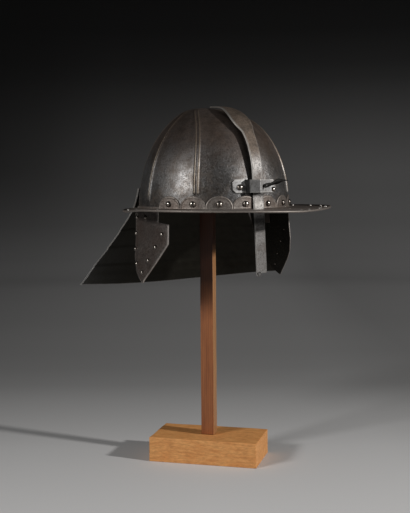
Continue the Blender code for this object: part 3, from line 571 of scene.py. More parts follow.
steel("rivet_steel", (0.22, 0.2, 0.18), (0.15, 0.128, 0.11), (0.1, 0.072, 0.055), (0.55, 0.51, 0.46),
      (0.2, 0.32), cover=0.45, hammer=0.25, seed=20.4, metal=0.95)
steel("lining_steel", (0.62, 0.6, 0.57), (0.45, 0.42, 0.39), (0.25, 0.2, 0.16), (0.8, 0.78, 0.75),
      (0.3, 0.42), cover=0.3, hammer=0.1, pits=0.2, seed=23.0, metal=0.7, crust=0.3)
leather("hanger_leather")
# post: painted shade over its upper part, and a painted highlight on its face towards the right lamp
wood("post_wood", (0.42, 0.155, 0.055), (0.28, 0.09, 0.03), (0.12, 0.038, 0.014), (0.36, 0.52), 0.4,
     2, (0.045, 0.03, 0.0), 420, stain_and_shade=(0.15, 0.12, 0.1), painted_lit_side=(1.35, 1.9, 2.2))
wood("base_wood", (0.9, 0.46, 0.165), (0.74, 0.325, 0.105), (0.36, 0.135, 0.04), (0.45, 0.62), 0.3,
     0, (0.0, 0.02, -0.035), 330, stretch_share=0.28, fibre_scale=420, band_share=0.22, fibre_share=0.5)


# Skull

def dome_share(z):
    return max(0.0, 1.0 - (max(0.0, z) / SKULL_HEIGHT) ** RISE_POWER) ** (1.0 / ROUND_POWER)


def skull_radius(angle, z):
    return dome_share(z) * oval(angle, SKULL_HALF_WIDTH, SKULL_HALF_LENGTH)


def skull_front(x, z):
    return -SKULL_HALF_LENGTH * sqrt(dome_share(z) ** 2 - (x / SKULL_HALF_WIDTH) ** 2)


def panel_share(angle, z):
    """The panels beside and behind are a little flatter than a true round, above the rivetted lobes."""
    half = pi / RIB_COUNT
    if cos(angle) > cos(2 * half):
        return 1.0
    chord = cos(half) / cos(angle % (2 * half) - half)
    return 1 - PANEL_FLATNESS * (1 - chord) * ramp(z, 22 * MM, 20 * MM)


def skull_columns(z):
    """Angles round the skull at a height, each with the share of its height that a rib has there."""
    sector = tau / RIB_COUNT
    foot = min(RIB_HALF_FOOT / (SKULL_HALF_LENGTH * dome_share(z)), RIB_MAX_SHARE * sector / 2)
    scale = foot / RIB_HALF_FOOT * MM
    full = RIB_SECTION[-1][0] * scale
    bent = RIB_BENT_TURN * (max(0.0, z) / SKULL_HEIGHT) ** RIB_BENT_POWER
    middles = [rib * sector + bent * (rib % RIB_COUNT == RIB_BENT) for rib in range(-1, RIB_COUNT + 1)]
    columns = []
    for rib, (start, run) in enumerate(RIB_STARTS):
        before, middle, after = middles[rib:rib + 3]
        rise = ease(ramp(z, start * MM, run * MM)) * min(1.0, dome_share(z) / 0.3)
        ends = {-1: min(full, 0.46 * (middle - before)), 1: min(full, 0.46 * (after - middle))}
        for offset, share in RIB_SECTION:
            side = -1 if offset < 0 else 1
            turn = abs(offset) * scale
            if turn > foot:
                turn = foot + (turn - foot) * (ends[side] - foot) / (full - foot)
            worn = RIB_WORN_SHARE if rib == RIB_WORN and offset < 0 else 1.0
            columns.append((middle + side * turn, share * rise * worn))
        for i in range(1, PANEL_COLUMNS + 1):
            turn = ends[1] + (after - middle - 2 * ends[1]) * i / (PANEL_COLUMNS + 1)
            columns.append((middle + turn, 0.0))
    return columns


def skull_cell(z, angle, share):
    """Outer and inner point, wear, age and painted shade."""
    radius = skull_radius(angle, z) * panel_share(angle, z)
    point = at_angle(angle, radius, z)
    lean = Vector((0, CROWN_LEAN * (max(0.0, z) / SKULL_HEIGHT) ** CROWN_LEAN_POWER, 0))
    dent = DENT * (wobble(point, 22) + 0.5 * wobble(point, 60, 4.0))
    within = (radius - SKULL_WALL * (1 if z < CROWN_FROM else 1.1)) / radius
    under = Vector((point.x * within, point.y * within, z * (1 - SKULL_WALL / SKULL_HEIGHT)))
    turned = degrees(atan2(point.x, -point.y))
    # painted shade: darker over the upper left panel, the front left panel and the far left side
    darkening = 0.42 * bump(turned, -72, 36) * ease(ramp(z, 46 * MM, 50 * MM)) + 0.16 * bump(turned, -33, 17)
    darkening += 0.35 * bump(turned, -104, 30) * ramp(z, 20 * MM, 25 * MM)
    # a painted shadow of the nasal bar on the skull beside it
    if point.y < 0:
        painted_bar_shadow = 0.8 * bump(point.x, -4 * MM, 10 * MM) * ramp(z, 12 * MM, 16 * MM)
        darkening = max(darkening, painted_bar_shadow * (1 - ramp(z, 132 * MM, 10 * MM)))
    aged = 0.75 * ease(ramp(z + 9 * MM * wobble(point, 30, 5.0), 44 * MM, 60 * MM))
    over = at_angle(angle, radius + share * RIB_HEIGHT + dent, z)
    return over + lean, under + lean, ramp(share, 0.85, 0.15), aged, darkening


def build_skull():
    heights = [z * MM for z in SKULL_LOW_ROWS]
    first = asin((heights[-1] / SKULL_HEIGHT) ** (RISE_POWER / 2))
    turns = np.linspace(first, radians(88.5), SKULL_HIGH_ROWS + 1)[1:]
    heights += [SKULL_HEIGHT * sin(turn) ** (2 / RISE_POWER) for turn in turns]
    rows = [[skull_cell(z, angle, share) for angle, share in skull_columns(z)] for z in heights]
    tips = [(0, CROWN_LEAN, height) for height in (SKULL_HEIGHT, SKULL_HEIGHT - SKULL_WALL)]
    mesh = slab("skull", rows, 50, True, tips)
    add_piece("skull_shell", mesh, "skull_steel", "skull")


# Peak

def peak_reach(angle):
    side = PEAK_FORWARD * sin(angle)
    reach = PEAK_FORWARD * cos(angle) + sqrt(PEAK_RADIUS ** 2 - side ** 2)
    share = ramp(abs(angle), PEAK_ROUND_FROM, PEAK_END - PEAK_ROUND_FROM)
    inner = skull_radius(angle, 0) + FLANGE_WALL + PEAK_ROLL + 3 * MM
    return inner + (reach - inner) * sqrt(1.0 - share * share)


def peak_drop(angle, radius):
    """How far the bent peak hangs below its plane at a point."""
    keys, drops = zip(*PEAK_BEND)
    start = skull_radius(angle, 0) + GAP + FLANGE_WALL + PEAK_BEND_START
    share = ramp(radius, start, peak_reach(angle) - start) ** 1.5
    return np.interp(degrees(angle), keys, drops) * MM * share


def lobe_outline(angle):
    """Height of the scalloped edge, and the lobe's centre (None beside the lobes)."""
    if abs(angle) >= LOBE_EDGE:
        return LOBE_VALLEY, None
    centre = (floor(angle / LOBE_STEP + 1e-9) + 0.5) * LOBE_STEP
    fraction = min(1.0, abs(angle - centre) / (LOBE_STEP / 2))
    return LOBE_VALLEY + (LOBE_CROWN - LOBE_VALLEY) * sqrt(1.0 - fraction * fraction), centre


def scallop_bead(angle, z):
    """Raised line a little inside the scalloped edge."""
    centre = lobe_outline(angle)[1]
    if centre is None or z < LOBE_VALLEY - 2 * MM:
        return 0.0
    half, tall = LOBE_STEP / 2 * SKULL_HALF_LENGTH, LOBE_CROWN - LOBE_VALLEY
    u, v = (angle - centre) * SKULL_HALF_LENGTH / half, max(0.0, z - LOBE_VALLEY) / tall
    level = hypot(u, v)
    return bump((1 - level) * level / hypot(u / half, v / tall), 1.3 * MM, 1.25 * MM) if level > 0.2 else 0.0


def peak_section(angle):
    """Radius, height and mark round the peak and its flange: wear, or below 0 how dark an inner face is."""

    def seat(z):
        return skull_radius(angle, z) + GAP

    top = lobe_outline(angle)[0]
    reach, inner = peak_reach(angle), seat(0)
    plate = inner + FLANGE_WALL
    sag = 0.25 * MM * wobble((sin(angle) * 0.15, -cos(angle) * 0.15, 0), 20, 7.0)
    bead = PEAK_BEAD
    section = [(inner + (reach - 2 * bead - inner) * share, 0.0, -1.0) for share in (0.0, 0.33, 0.66, 1.0)]
    for tilt in range(-80, 161, 30):
        turn = radians(tilt)
        shine = 0.9 if -30 < tilt < 140 else 0.2
        section.append((reach - bead + bead * cos(turn), bead + bead * sin(turn), shine))
    flat = PEAK_WALL + 0.1 * MM
    start, end = reach - 2 * bead - 0.9 * MM, plate + 2.6 * MM
    section += [(start + (end - start) * share, flat + sag * sin(pi * share), 0.0)
                for share in (0.0, 0.12, 0.3, 0.5, 0.7, 0.88, 1.0)]
    section += [(plate + 1.3 * MM, flat + 0.35 * MM, 0.0), (plate + 0.45 * MM, flat + 1.1 * MM, 0.0)]
    for z in np.linspace(flat + 1.9 * MM, top - 0.35 * MM, 13):
        line = scallop_bead(angle, z)
        section.append((seat(z) + FLANGE_WALL + 0.5 * MM * line, z, line))
    section += [(seat(top) + 0.8 * FLANGE_WALL, top, 0.8), (seat(top), top, 0.3)]
    return section + [(seat(top * share), top * share, -1.0) for share in (0.66, 0.33)]


def build_peak():
    lobe, beside = 30, 34  # stations over one lobe, and beside the lobes
    shifts = [cos(pi * i / lobe) * LOBE_STEP / 2 for i in range(lobe)]
    angles = [centre - shift for centre in LOBE_CENTRES for shift in shifts]
    tail = [LOBE_EDGE + (PEAK_END - LOBE_EDGE) * sin(pi / 2 * i / beside) for i in range(1, beside + 1)]
    angles = [-a for a in reversed(tail)] + angles + [LOBE_EDGE] + tail
    rows = [[(at_angle(angle, radius, z - peak_drop(angle, radius)), max(mark, 0), 0, 0, max(-mark, 0))
             for radius, z, mark in peak_section(angle)] for angle in angles]
    mesh = loft("peak", rows, 40)
    half = NASAL_WIDTH * MM / 2 + SLOT_CLEARANCE
    low = SEAT + Vector((-half, bar_middle(0) - NASAL_WALL / 2 - SLOT_CLEARANCE, -5.5 * MM))
    high = SEAT + Vector((half, -NASAL_BACK - 0.1 * MM, 2.5 * MM))
    slot = Matrix.Translation((low + high) / 2) @ Matrix.Diagonal((*(high - low), 1))
    mesh = carve(mesh, bmesh.ops.create_cube, slot, size=1)
    add_piece("peak_plate", mesh, "peak_steel", "peak")


# Neck guard

def guard_spread(z_mm):
    rows = np.array(GUARD_ROWS)
    return spline(rows[:, 0], rows[:, 1:], z_mm) * MM


def guard_cell(z, i):
    """Outer and inner point and wear at a height in mm and a column."""
    deep = ramp(-z, 0, -GUARD_ROWS[-1][0])
    front = GUARD_FRONT_TOP + (GUARD_FRONT_FOOT - GUARD_FRONT_TOP) * deep
    angle = front + (tau - 2 * front) * i / GUARD_COLUMNS
    aside = min(i, GUARD_COLUMNS - i)
    radius = oval(angle, *guard_spread(z))
    height = z * MM - GUARD_DIP * deep ** 2 * max(0.0, -cos(angle)) ** 2
    lame = next(((upper - z) / (upper - lower) for upper, lower in zip(GUARD_LAMES, GUARD_LAMES[1:-1])
                 if upper >= z > lower), 0.0)
    dent = 0.25 * MM * wobble(at_angle(angle, radius, height), 24, 2.0) * (1 - deep)
    radius += dent + 0.9 * MM * lame
    rounding = 0.5 * MM * ramp(-z, 103.0, 1.0)
    border = 0.9 * MM * ease(1 - ramp(aside, 1.2, 1.2)) * (1 - ramp(-z, 90, 10))
    over = at_angle(angle, radius + GUARD_WALL * 0.95 - rounding + border, height + 0.2 * MM * deep)
    under = at_angle(angle, radius - 1.1 * MM * ease(ramp(-z, 89.5, 1.5)) + rounding, height)
    wear = max(0.8 * (1 - ramp(aside, 0, 1.2)), 0.8 * ramp(-z, 101, 2.0), 0.5 * bump(z, -90, 1.6))
    return over, under, wear


def build_guard():
    heights = list(np.linspace(30, -10, 12))
    for upper, lower in zip(GUARD_LAMES, GUARD_LAMES[1:]):
        heights += list(np.linspace(upper - 0.7, lower + 0.5, 10))
    heights[-1:] = [-101.5, -103.2, -104.0]
    mesh = slab("neck_guard", [[guard_cell(z, i) for i in range(GUARD_COLUMNS + 1)] for z in heights], 45)
    add_piece("neck_guard_plate", mesh, "guard_steel", "neck_guard")


# Cheek pieces and hangers

def cheek_spread(y, z):
    drop = max(0.0, -z)
    top = 104 * MM + 0.031 * drop + 1.216 * drop * drop
    return top * sqrt(1.0 - (y / CHEEK_BEND_RADIUS) ** 2)


def cheek_normal(side, y, z):
    step = 1 * MM
    spread = cheek_spread(y, z)
    back, down = cheek_spread(y + step, z) - spread, cheek_spread(y, z - step) - spread
    return Vector((side * step, -back, down)).normalized()


def build_cheek(word, side):
    keys, fronts, rears = np.array(CHEEK_ROWS[word], float).T
    heights = []
    for upper, lower in zip(keys, keys[1:]):
        heights += list(np.linspace(upper, lower, max(3, int((upper - lower) / 1.6)) + 1)[:-1])

    def cell(z_mm, i):
        front, rear = np.interp(-z_mm, -keys, fronts), np.interp(-z_mm, -keys, rears)
        share = 0.5 - 0.5 * cos(pi * (0.12 + 0.76 * i / CHEEK_COLUMNS)) / cos(pi * 0.12)
        edge = min(share, 1 - share) * (rear - front) * 0.85
        y, z = (front + (rear - front) * share) * MM, z_mm * MM
        spread = cheek_spread(y, z)
        dent = 0.22 * MM * wobble((side * spread, y, z), 30, 9.0)
        fall = 0.45 * MM * (1 - ease(ramp(edge, 0.0, 1.4)))
        over = Vector((side * (spread + dent), y, z)) - cheek_normal(side, y, z) * fall
        under = Vector((side * (spread - CHEEK_WALL), y, z))
        return over, under, max(0.8 * (1 - ramp(edge, 0.2, 1.0)), 0.3 * (1 - ramp(edge, 2.2, 1.0)))

    rows = [[cell(z, i) for i in range(CHEEK_COLUMNS + 1)] for z in [*heights, keys[-1]]]
    mesh = slab(f"cheek_{word}", rows, 50)
    add_piece(f"cheek_plate_{word}", mesh, "cheek_steel", f"cheek_{word}")


def build_hanger(word, side):
    def cell(z, share):
        y = (15 + 14 * share) * MM
        angle = pi / 2 + y / SKULL_HALF_WIDTH
        skull = (skull_radius(angle, z) - SKULL_WALL) * sin(angle)
        spread = min(cheek_spread(y, z) - CHEEK_WALL, skull) - 2 * GAP
        puff = 0.3 * MM * (1 - share ** 8)
        crease = 0.25 * MM * wobble((side * spread, y, z), 90, 3.0)
        over, under = spread - 0.3 * MM + puff, spread - 1.9 * MM - puff + crease
        return (side * over, y, z), (side * under, y, z)

    rows = [[cell(z, share) for share in np.linspace(-1, 1, 15)] for z in np.linspace(-24, 14, 28) * MM]
    mesh = slab(f"hanger_{word}", rows, 60)
    bevel(add_piece(f"hanger_strap_{word}", mesh, "hanger_leather", f"hanger_{word}"), 0.5 * MM, 35)


# Nasal bar

def bar_middle(z):
    return -NASAL_BACK - NASAL_WALL / 2 + tan(NASAL_TILT) * (z - LOBE_CROWN)


def bar_stations():
    """Up the bar's middle from the scroll to the leaf's tip: y, z, width and sideways offset in metres."""
    radius, narrow, broad = 2.5 * MM, 4.6 * MM, NASAL_WIDTH * MM
    corner = (narrow - broad) / 2
    foot = NASAL_FOOT * MM
    stations = []
    for i in range(21):
        turn = radians(250 - 12.5 * i)
        stations.append((bar_middle(foot) - radius + radius * cos(turn),
                         foot - 1.0 * MM - radius * sin(turn), narrow * (0.75 + 0.25 * i / 20), corner))
    stations.append((bar_middle(foot), foot - 0.3 * MM, narrow * 1.06, corner + 0.15 * MM))
    stations += [(bar_middle(z), z, broad, 0.0) for z in np.linspace(foot, 45 * MM, 44)]
    # the leaf follows arc length through its points
    path = [(bar_middle(z * MM) / MM, z, NASAL_WIDTH) for z in (38, 45)]
    path = np.array([*path, *NASAL_PATH])
    keys = np.append(0.0, np.cumsum(np.hypot(*np.diff(path[:, :2], axis=0).T)))
    for at in np.linspace(keys[1], keys[-1], 91)[1:]:
        y, z, width = spline(keys, path, at)
        stations.append((y * MM, z * MM, max(1.6, width) * MM, 0.0))
    return stations


def build_bar():
    stations = bar_stations()
    rows = []
    for i, (y, z, width, offset) in enumerate(stations):
        before, after = stations[max(0, i - 1)], stations[min(len(stations) - 1, i + 1)]
        along = Vector((after[0] - before[0], after[1] - before[1]))
        if abs(z - NASAL_FOOT * MM) < 0.5 * MM:
            along = Vector((tan(NASAL_TILT), 1.0))
        normal = Vector((-along[1], along[0])).normalized()
        edge = min(1.3 * MM, width / 4)
        wave = 0.12 * MM * wobble((offset, y, z), 45, 1.5)
        cup = (width / 2) ** 2 / (2 * LEAF_CUP_RADIUS) * ramp(z, LEAF_CUP_START, LEAF_CUP_RUN)
        # a painted highlight on the bar over the flange's height
        painted_highlight = 0.5 * bump(z, 8 * MM, 9 * MM)
        aged = 0.9 * ease(ramp(z, 62 * MM, 22 * MM))
        # painted shadow of the staple below it, painted shade of the peak on the bar below the peak, and
        # darker towards the leaf's top
        painted_staple_shadow = 0.97 * bump(z, 21.6 * MM, 3.4 * MM) if z < 23.9 * MM else 0.0
        darkening = max(painted_staple_shadow, 0.38 * ease(ramp(-z, 1 * MM, 4 * MM)), 0.85 * bump(z, -14 * MM, 14 * MM),
                    0.35 * ease(ramp(z, 116 * MM, 18 * MM)))
        rows.append([])
        for side, inset, rise, mark in BAR_SECTION:
            x = side * width / 2 + inset * edge
            out = rise * NASAL_WALL / 2 + wave - cup * (2 * x / width) ** 2
            point = (offset + x, y + normal.x * out, z + normal.y * out)
            rows[-1].append((point, max(painted_highlight, 0.8 * mark), aged, darkening))
    mesh = loft("nasal_bar", rows, 45)
    add_piece("nasal_bar_steel", mesh, "bar_steel", "nasal_bar", body="nasal")


# Staple and thumb screw

def screw_placement():
    height = STAPLE_HEIGHT_CENTRE - SCREW_DROP
    origin = Vector((SCREW_SIDE, bar_middle(height) - NASAL_WALL / 2, height)) + SEAT
    plan = Matrix.Rotation(-SCREW_TURN, 4, "Z")
    return Matrix.Translation(origin) @ plan @ Matrix.Rotation(-SCREW_RISE, 4, "Y")


def staple_back(x, z):
    """The inner face: on the skull, then out over the bar to the crease, then sloping back to the skull."""
    if not STAPLE_LEG <= x < STAPLE_SLOPE_END:
        return skull_front(x, z) - GAP
    bridge = bar_middle(z) - NASAL_WALL / 2 - BRIDGE_CLEARANCE - np.interp(x, *zip(*STAPLE_LEANS))
    foot = skull_front(STAPLE_SLOPE_END, z) - GAP
    return bridge + (foot - bridge) * ramp(x, STAPLE_CREASE, STAPLE_SLOPE_END - STAPLE_CREASE)


def staple_painted_shade(x):
    """Painted shade and shadow: black on the leg, less on the bridge, none on the ends."""
    if abs(x - STAPLE_LEG) < 0.02 * MM:
        return 0.95
    if x < STAPLE_LEG:
        return 0.18
    return 0.78 if x < STAPLE_CREASE - 0.5 * MM else 0.0


def build_staple():
    end = STAPLE_REACH - STAPLE_CHAMFER
    stations = [
        *np.linspace(-STAPLE_REACH, -end, 4)[:-1], *np.linspace(-end, STAPLE_LEG - 2.2 * MM, 8),
        STAPLE_LEG - 0.01 * MM, STAPLE_LEG, *np.linspace(STAPLE_LEG + 0.5 * MM, STAPLE_CREASE - 0.8 * MM, 8),
        *np.linspace(STAPLE_CREASE, STAPLE_SLOPE_END, 11), 26.5 * MM, 29 * MM, end, end + 1.8 * MM,
        STAPLE_REACH,
    ]

    def cell(share, x):
        narrow = (STAPLE_HALF_HEIGHT - STAPLE_END_HALF_HEIGHT) * ramp(abs(x), end, STAPLE_CHAMFER)
        z = STAPLE_HEIGHT_CENTRE + share * (STAPLE_HALF_HEIGHT - narrow)
        point = SEAT + Vector((x, staple_back(x, z), z))
        return point, 0.9 if abs(share) == 1.0 else 0.0, staple_painted_shade(x)

    points, wear, darkening = grids([[cell(share, x) for x in stations] for share in np.linspace(-1, 1, 9)])
    faces = quads(numbered(9, len(stations)))
    sheet = finish_mesh("staple", np.reshape(points, (-1, 3)), faces, 0, False, wear=wear, shade=darkening)
    body = link("staple_sheet", sheet)
    shell = body.modifiers.new("wall", "SOLIDIFY")
    shell.thickness, shell.offset, shell.use_even_offset = STAPLE_WALL, 1.0, True
    hole = screw_placement() @ Matrix.Translation((4 * MM, 0, 0)) @ Matrix.Rotation(pi / 2, 4, "Y")
    solid = drill(baked(body), hole, SCREW_HOLE_RADIUS, 32)
    soften(solid, 30)
    bevel(add_piece("staple_strap", solid, "staple_steel", "staple"), 0.35 * MM, 40)


def build_screw():
    placement = screw_placement()
    table = np.array(SCREW_ROWS)
    turns = [tau * i / 24 for i in range(24)]
    rows = []
    for at in np.unique(np.round(np.append(table[:, 0], np.linspace(6, 41.5, 60)), 3)):
        if at <= 6.0:
            width, thick, rise = (np.interp(at, table[:, 0], table[:, i]) for i in (1, 2, 3))
        else:
            width, thick, rise = spline(table[:, 0], table[:, 1:], at)
        rows.append([(placement @ (Vector((at, thick * sin(turn), rise + width * cos(turn))) * MM),
                      0.12 * abs(cos(turn)) ** 6) for turn in turns])
    eye = placement @ Matrix.Translation((SCREW_EYE, 0, 0.1 * MM))
    mesh = loft("thumb_screw", rows, 50, (0, 0, 0))
    mesh = drill(mesh, eye @ Matrix.Rotation(pi / 2, 4, "X"), SCREW_EYE_RADIUS, 24)
    add_piece("thumb_screw_steel", mesh, "screw_steel", "thumb_screw", body="screw")
    # a raised rim round the eye on both sides
    verts, faces = [], []
    steps, sides = 28, 8
    for side in (1, -1):
        index = numbered(steps, sides, True, len(verts))
        faces += quads(np.append(index, index[:1], axis=0))
        for i in range(steps * sides):
            around, turn = tau * (i // sides) / steps, tau * (i % sides) / sides
            out = SCREW_EYE_RADIUS + 0.55 * MM + 0.35 * MM * cos(turn)
            aside = side * (1.45 * MM + 0.4 * MM * sin(turn))
            verts.append(eye @ Vector((out * cos(around), aside, out * sin(around))))
    mesh = finish_mesh("screw_eye_rim", verts, faces, 0, wear=[1.0] * len(verts))
    add_piece("screw_eye_rim", mesh, "screw_steel", body="screw")


# Rivets

def add_rivet(name, size, point, normal, in_cad=True, look=None):
    """A domed head with a soft edge, on its flat underside."""
    radius, height = size[0] * MM, size[1] * MM
    turns = [radians(8 + 82 * ring / 7) for ring in range(1, 7)]
    profile = [(radius * 0.97, 0.0), (radius, 0.1 * height)]
    profile += [(radius * cos(turn), height * sin(turn)) for turn in turns]
    verts = [at_angle(tau * i / RIVET_SIDES, out, z) for out, z in profile for i in range(RIVET_SIDES)]
    verts.append(Vector((0, 0, height)))
    wear = [0.5 * ease(ramp(vert.z, 0.55 * height, 0.45 * height)) for vert in verts]
    index = numbered(len(profile), RIVET_SIDES, True)
    last = index[-1].tolist()
    faces = quads(index) + [(a, b, len(verts) - 1) for a, b in zip(last, last[1:])] + [index[0, :-1].tolist()]
    facing = Vector(normal).to_track_quat("Z", "Y").to_matrix().to_4x4()
    placement = Matrix.Translation(Vector(point) + SEAT) @ facing
    mesh = finish_mesh(name, [placement @ vert for vert in verts], faces, 50, wear=wear)
    add_piece(f"{name}_head", mesh, "rivet_steel", *([name] if in_cad else []), look=look)


def build_rivets():
    for number, angle in enumerate(LOBE_CENTRES, 1):
        radius = skull_radius(angle, FLANGE_RIVET_HEIGHT) + FLANGE_WALL + 1.2 * GAP
        point = at_angle(angle, radius, FLANGE_RIVET_HEIGHT)
        add_rivet(f"flange_rivet_{number}", FLANGE_RIVET, point, at_angle(angle, 1, 0))
    for number, bearing in enumerate(GUARD_RIVET_ANGLES, 1):
        angle = radians(bearing)
        radius = oval(angle, *guard_spread(GUARD_RIVET_HEIGHT / MM)) + GUARD_WALL
        point = at_angle(angle, radius, GUARD_RIVET_HEIGHT)
        add_rivet(f"guard_rivet_{number}", GUARD_RIVET, point, at_angle(angle, 1, 0.22))
    for word, side in SIDES:
        for number, (y, z) in enumerate(CHEEK_RIVETS, 1):
            y, z = y * MM, z * MM
            normal = cheek_normal(side, y, z)
            point = Vector((side * cheek_spread(y, z), y, z))
            add_rivet(f"cheek_rivet_{word}_{number}", CHEEK_RIVET, point, normal)
            if number > 2:
                tail = point - normal * (CHEEK_WALL + 0.1 * MM)
                add_rivet(f"cheek_tail_{word}_{number}", CHEEK_TAIL, tail, -normal, False)
    for word, x, z, *size in STAPLE_RIVETS:
        x, z = x * MM, z * MM
        slope_x = (skull_front(x + MM, z) - skull_front(x - MM, z)) / (2 * MM)
        slope_z = (skull_front(x, z + MM) - skull_front(x, z - MM)) / (2 * MM)
        normal = Vector((slope_x, -1, slope_z)).normalized()
        point = Vector((x, skull_front(x, z), z)) + normal * (STAPLE_WALL + GAP)
        add_rivet(f"staple_rivet_{word}", size, point, normal)
    for number, bearing in enumerate(LINING_RIVET_ANGLES, 1):
        angle = radians(bearing)
        radius = peak_reach(angle) - 8.5 * MM
        point = at_angle(angle, radius, PEAK_WALL - peak_drop(angle, radius))
        add_rivet(f"lining_rivet_{number}", LINING_RIVET, point, (0, 0, 1), False, "lining_steel")


# Stand

def add_timber(name, node, slot, size, low, waviness, cuts):
    """A squared timber with softened edges and uneven faces, standing at a height."""
    bm = bmesh.new()
    bmesh.ops.create_cube(bm, size=1)
    bmesh.ops.transform(bm, matrix=Matrix.Diagonal((*size, 1)), verts=bm.verts)
    bmesh.ops.bevel(bm, geom=list(bm.edges), offset=TIMBER_EDGE, segments=3, profile=0.6, affect="EDGES")
    for axis, count in enumerate(cuts):
        normal = Vector([float(axis == k) for k in range(3)])
        for share in np.linspace(-1, 1, count + 1)[1:-1]:
            bmesh.ops.bisect_plane(bm, geom=[*bm.verts, *bm.edges, *bm.faces], plane_no=normal,
                                   plane_co=normal * (size[axis] / 2 - TIMBER_EDGE) * share)
    near = 1.5 * TIMBER_EDGE
    layer = bm.verts.layers.float.new("painted_lit_side")
    for vert in bm.verts:
        shift = waviness * (noise.noise(vert.co * 35) - 0.55)
        outward = Vector([copysign(1.0, c) if abs(c) > side / 2 - near else 0.0
                          for c, side in zip(vert.co, size)])
        if vert.co.z > -size[2] / 2 + near:
            vert.co += outward * min(0.0, shift)
        # share of the painted highlight on the lamp-side face, fading out at the top where the helmet's shade
        # falls
        bare = 1 - ramp(vert.co.z, POST_PAINTED_SHADE_HIGH + 34 * MM, 16 * MM)
        vert[layer] = bare if vert.co.x > size[0] / 2 - TIMBER_EDGE / 2 else 0.0
    mesh = bpy.data.meshes.new(name)
    bm.to_mesh(mesh)
    bm.free()
    soften(mesh, 40)
    matrix = Matrix.Translation((0, 0, low + size[2] / 2)) @ Matrix.Rotation(STAND_TURN, 4, "Z")
    add_piece(name, mesh, slot, node, matrix=matrix)


build_skull()
build_peak()
build_guard()
for word, side in SIDES:
    build_cheek(word, side)
    build_hanger(word, side)
build_bar()
build_staple()
build_screw()
build_rivets()
block, post = (BASE_LENGTH, BASE_WIDTH, BASE_TOP), (POST_SIDE, POST_SIDE, POST_HIGH - POST_LOW)
add_timber("stand_block", "stand_base", "base_wood", block, 0.0, 0.35 * MM, (24, 14, 6))
add_timber("stand_upright", "stand_post", "post_wood", post, POST_LOW, 0.25 * MM, (2, 2, 50))


# Floor and backdrop: a round sweep that darkens with height, with the fall of light painted into its colour

AZIMUTH = radians(-32.212)  # of the camera, from the front
FLOOR_PAINTED_FALLOFF = (  # painted fall of light, by metres along the floor away from the camera
    (-0.5, 0.7), (-0.24, 0.685), (-0.11, 0.65), (-0.04, 0.63), (0.05, 0.6), (0.14, 0.535), (0.25, 0.475),
    (0.37, 0.415), (0.51, 0.33), (0.68, 0.305), (0.87, 0.32), (1.11, 0.37), (1.39, 0.425), (1.75, 0.53),
    (2.21, 0.66), (2.8, 0.66),
)
WALL_PAINTED_FALLOFF = (  # painted fall of light, by height
    (0.0, 1.0), (0.055, 0.78), (0.117, 0.64), (0.19, 0.5), (0.34, 0.375), (0.51, 0.293), (0.684, 0.203),
    (0.774, 0.155), (0.866, 0.112), (0.958, 0.071), (1.05, 0.0436), (1.24, 0.0166), (1.42, 0.0093),
    (2.0, 0.006),
)
SIDE_PAINTED_FALLOFF = (  # painted fall of light, by metres to the camera's right, on the floor
    (-1.3, 0.5), (-0.75, 0.68), (-0.48, 0.82), (-0.27, 0.92), (0.0, 1.0), (0.27, 0.97), (0.48, 0.8),
    (0.75, 0.84), (1.3, 0.95),
)
HIGH_SIDE_PAINTED_FALLOFF = (  # the same above HIGH_SIDES
    (-1.2, 0.21), (-0.85, 0.42), (-0.5, 0.77), (0.0, 1.0), (0.5, 1.24), (0.85, 1.38), (1.3, 1.4),
)
HIGH_SIDES = 0.45
SWEEP_START = 2.6
SWEEP_BEND = 1.6
LIT_POINT = Vector((0, 0, 0.36))

right, back = at_angle(AZIMUTH + pi / 2, 1, 0), at_angle(AZIMUTH, 1, 0)


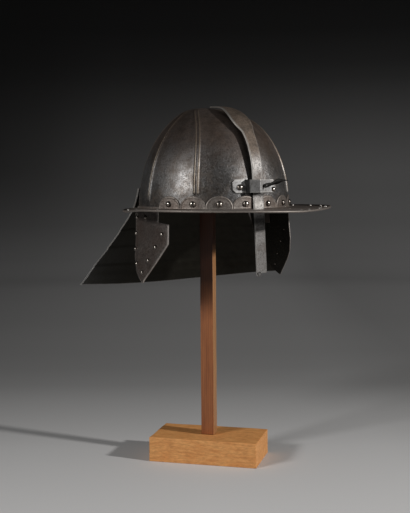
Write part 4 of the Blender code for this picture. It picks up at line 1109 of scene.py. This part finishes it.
def build_stage():
    profile = [(0.0, 0.0), (0.3, 0.0), (0.8, 0.0), (1.6, 0.0), (SWEEP_START, 0.0)]
    for tilt in range(6, 91, 6):
        turn = radians(tilt)
        profile.append((SWEEP_START + SWEEP_BEND * sin(turn), SWEEP_BEND - SWEEP_BEND * cos(turn)))
    profile += [(SWEEP_START + SWEEP_BEND, z) for z in (2.4, 3.6)]
    sides = 96
    verts = [at_angle(tau * i / sides, radius, z) for radius, z in profile for i in range(sides)]
    mesh = finish_mesh("studio_floor", verts, quads(numbered(len(profile), sides, True)), 0, False)
    look = Look("studio_floor")
    lifted = look.along((0, 0, 1), ((0.0, 0.0), (HIGH_SIDES, 1.0)))
    side = look.mix(lifted, look.along(right, SIDE_PAINTED_FALLOFF), look.along(right, HIGH_SIDE_PAINTED_FALLOFF))
    painted_falloff = look.mix(1.0, look.along(-back, FLOOR_PAINTED_FALLOFF), look.along((0, 0, 1), WALL_PAINTED_FALLOFF), "MULTIPLY")
    look.finish({"Base Color": look.mix(1.0, painted_falloff, side, "MULTIPLY"), "Roughness": 0.9})
    mesh.materials.append(MATERIALS["studio_floor"])
    link("studio_floor", mesh)


def add_light(name, azimuth, away, height, size, power, colour):
    """A soft box facing the helmet, at degrees from the front towards +X and metres away."""
    place = at_angle(radians(azimuth), away, height)
    data = bpy.data.lights.new(name, "AREA")
    data.shape = "RECTANGLE"
    data.size, data.size_y = size
    data.energy, data.color = power, colour
    light = link(name, data)
    light.location = place
    light.rotation_euler = (place - LIT_POINT).to_track_quat("Z", "Y").to_euler()
    light.visible_camera = False


build_stage()
add_light("soft_box_left", -83, 2.0, 1.08, (0.5, 0.34), 22.5, (1.0, 0.99, 0.98))
add_light("lamp_right", 31, 2.37, 1.21, (0.13, 0.13), 46, (1.0, 0.98, 0.96))

world = bpy.context.scene.world = bpy.data.worlds.new("studio")
world.use_nodes = True
colour, strength, *_ = world.node_tree.nodes["Background"].inputs
colour.default_value = (0.6, 0.62, 0.65, 1)
strength.default_value = 0.02

# Camera, fitted to the photo's outlines
DISTANCE = 1.420301
HEIGHT = 0.416871
PITCH = radians(4.688)
ROLL = radians(0.45)
AIM = -0.004285
eye = at_angle(AZIMUTH, DISTANCE, HEIGHT) + right * AIM
aim = Matrix.Rotation(AZIMUTH, 4, "Z") @ Matrix.Rotation(pi / 2 - PITCH, 4, "X")
camera_data = bpy.data.cameras.new("camera")
camera_data.lens = 68.007
camera = bpy.context.scene.camera = link("camera", camera_data)
camera.matrix_world = Matrix.Translation(eye) @ aim @ Matrix.Rotation(-ROLL, 4, "Z")
bpy.context.scene.view_settings.view_transform = "Standard"

bpy.context.view_layer.update()
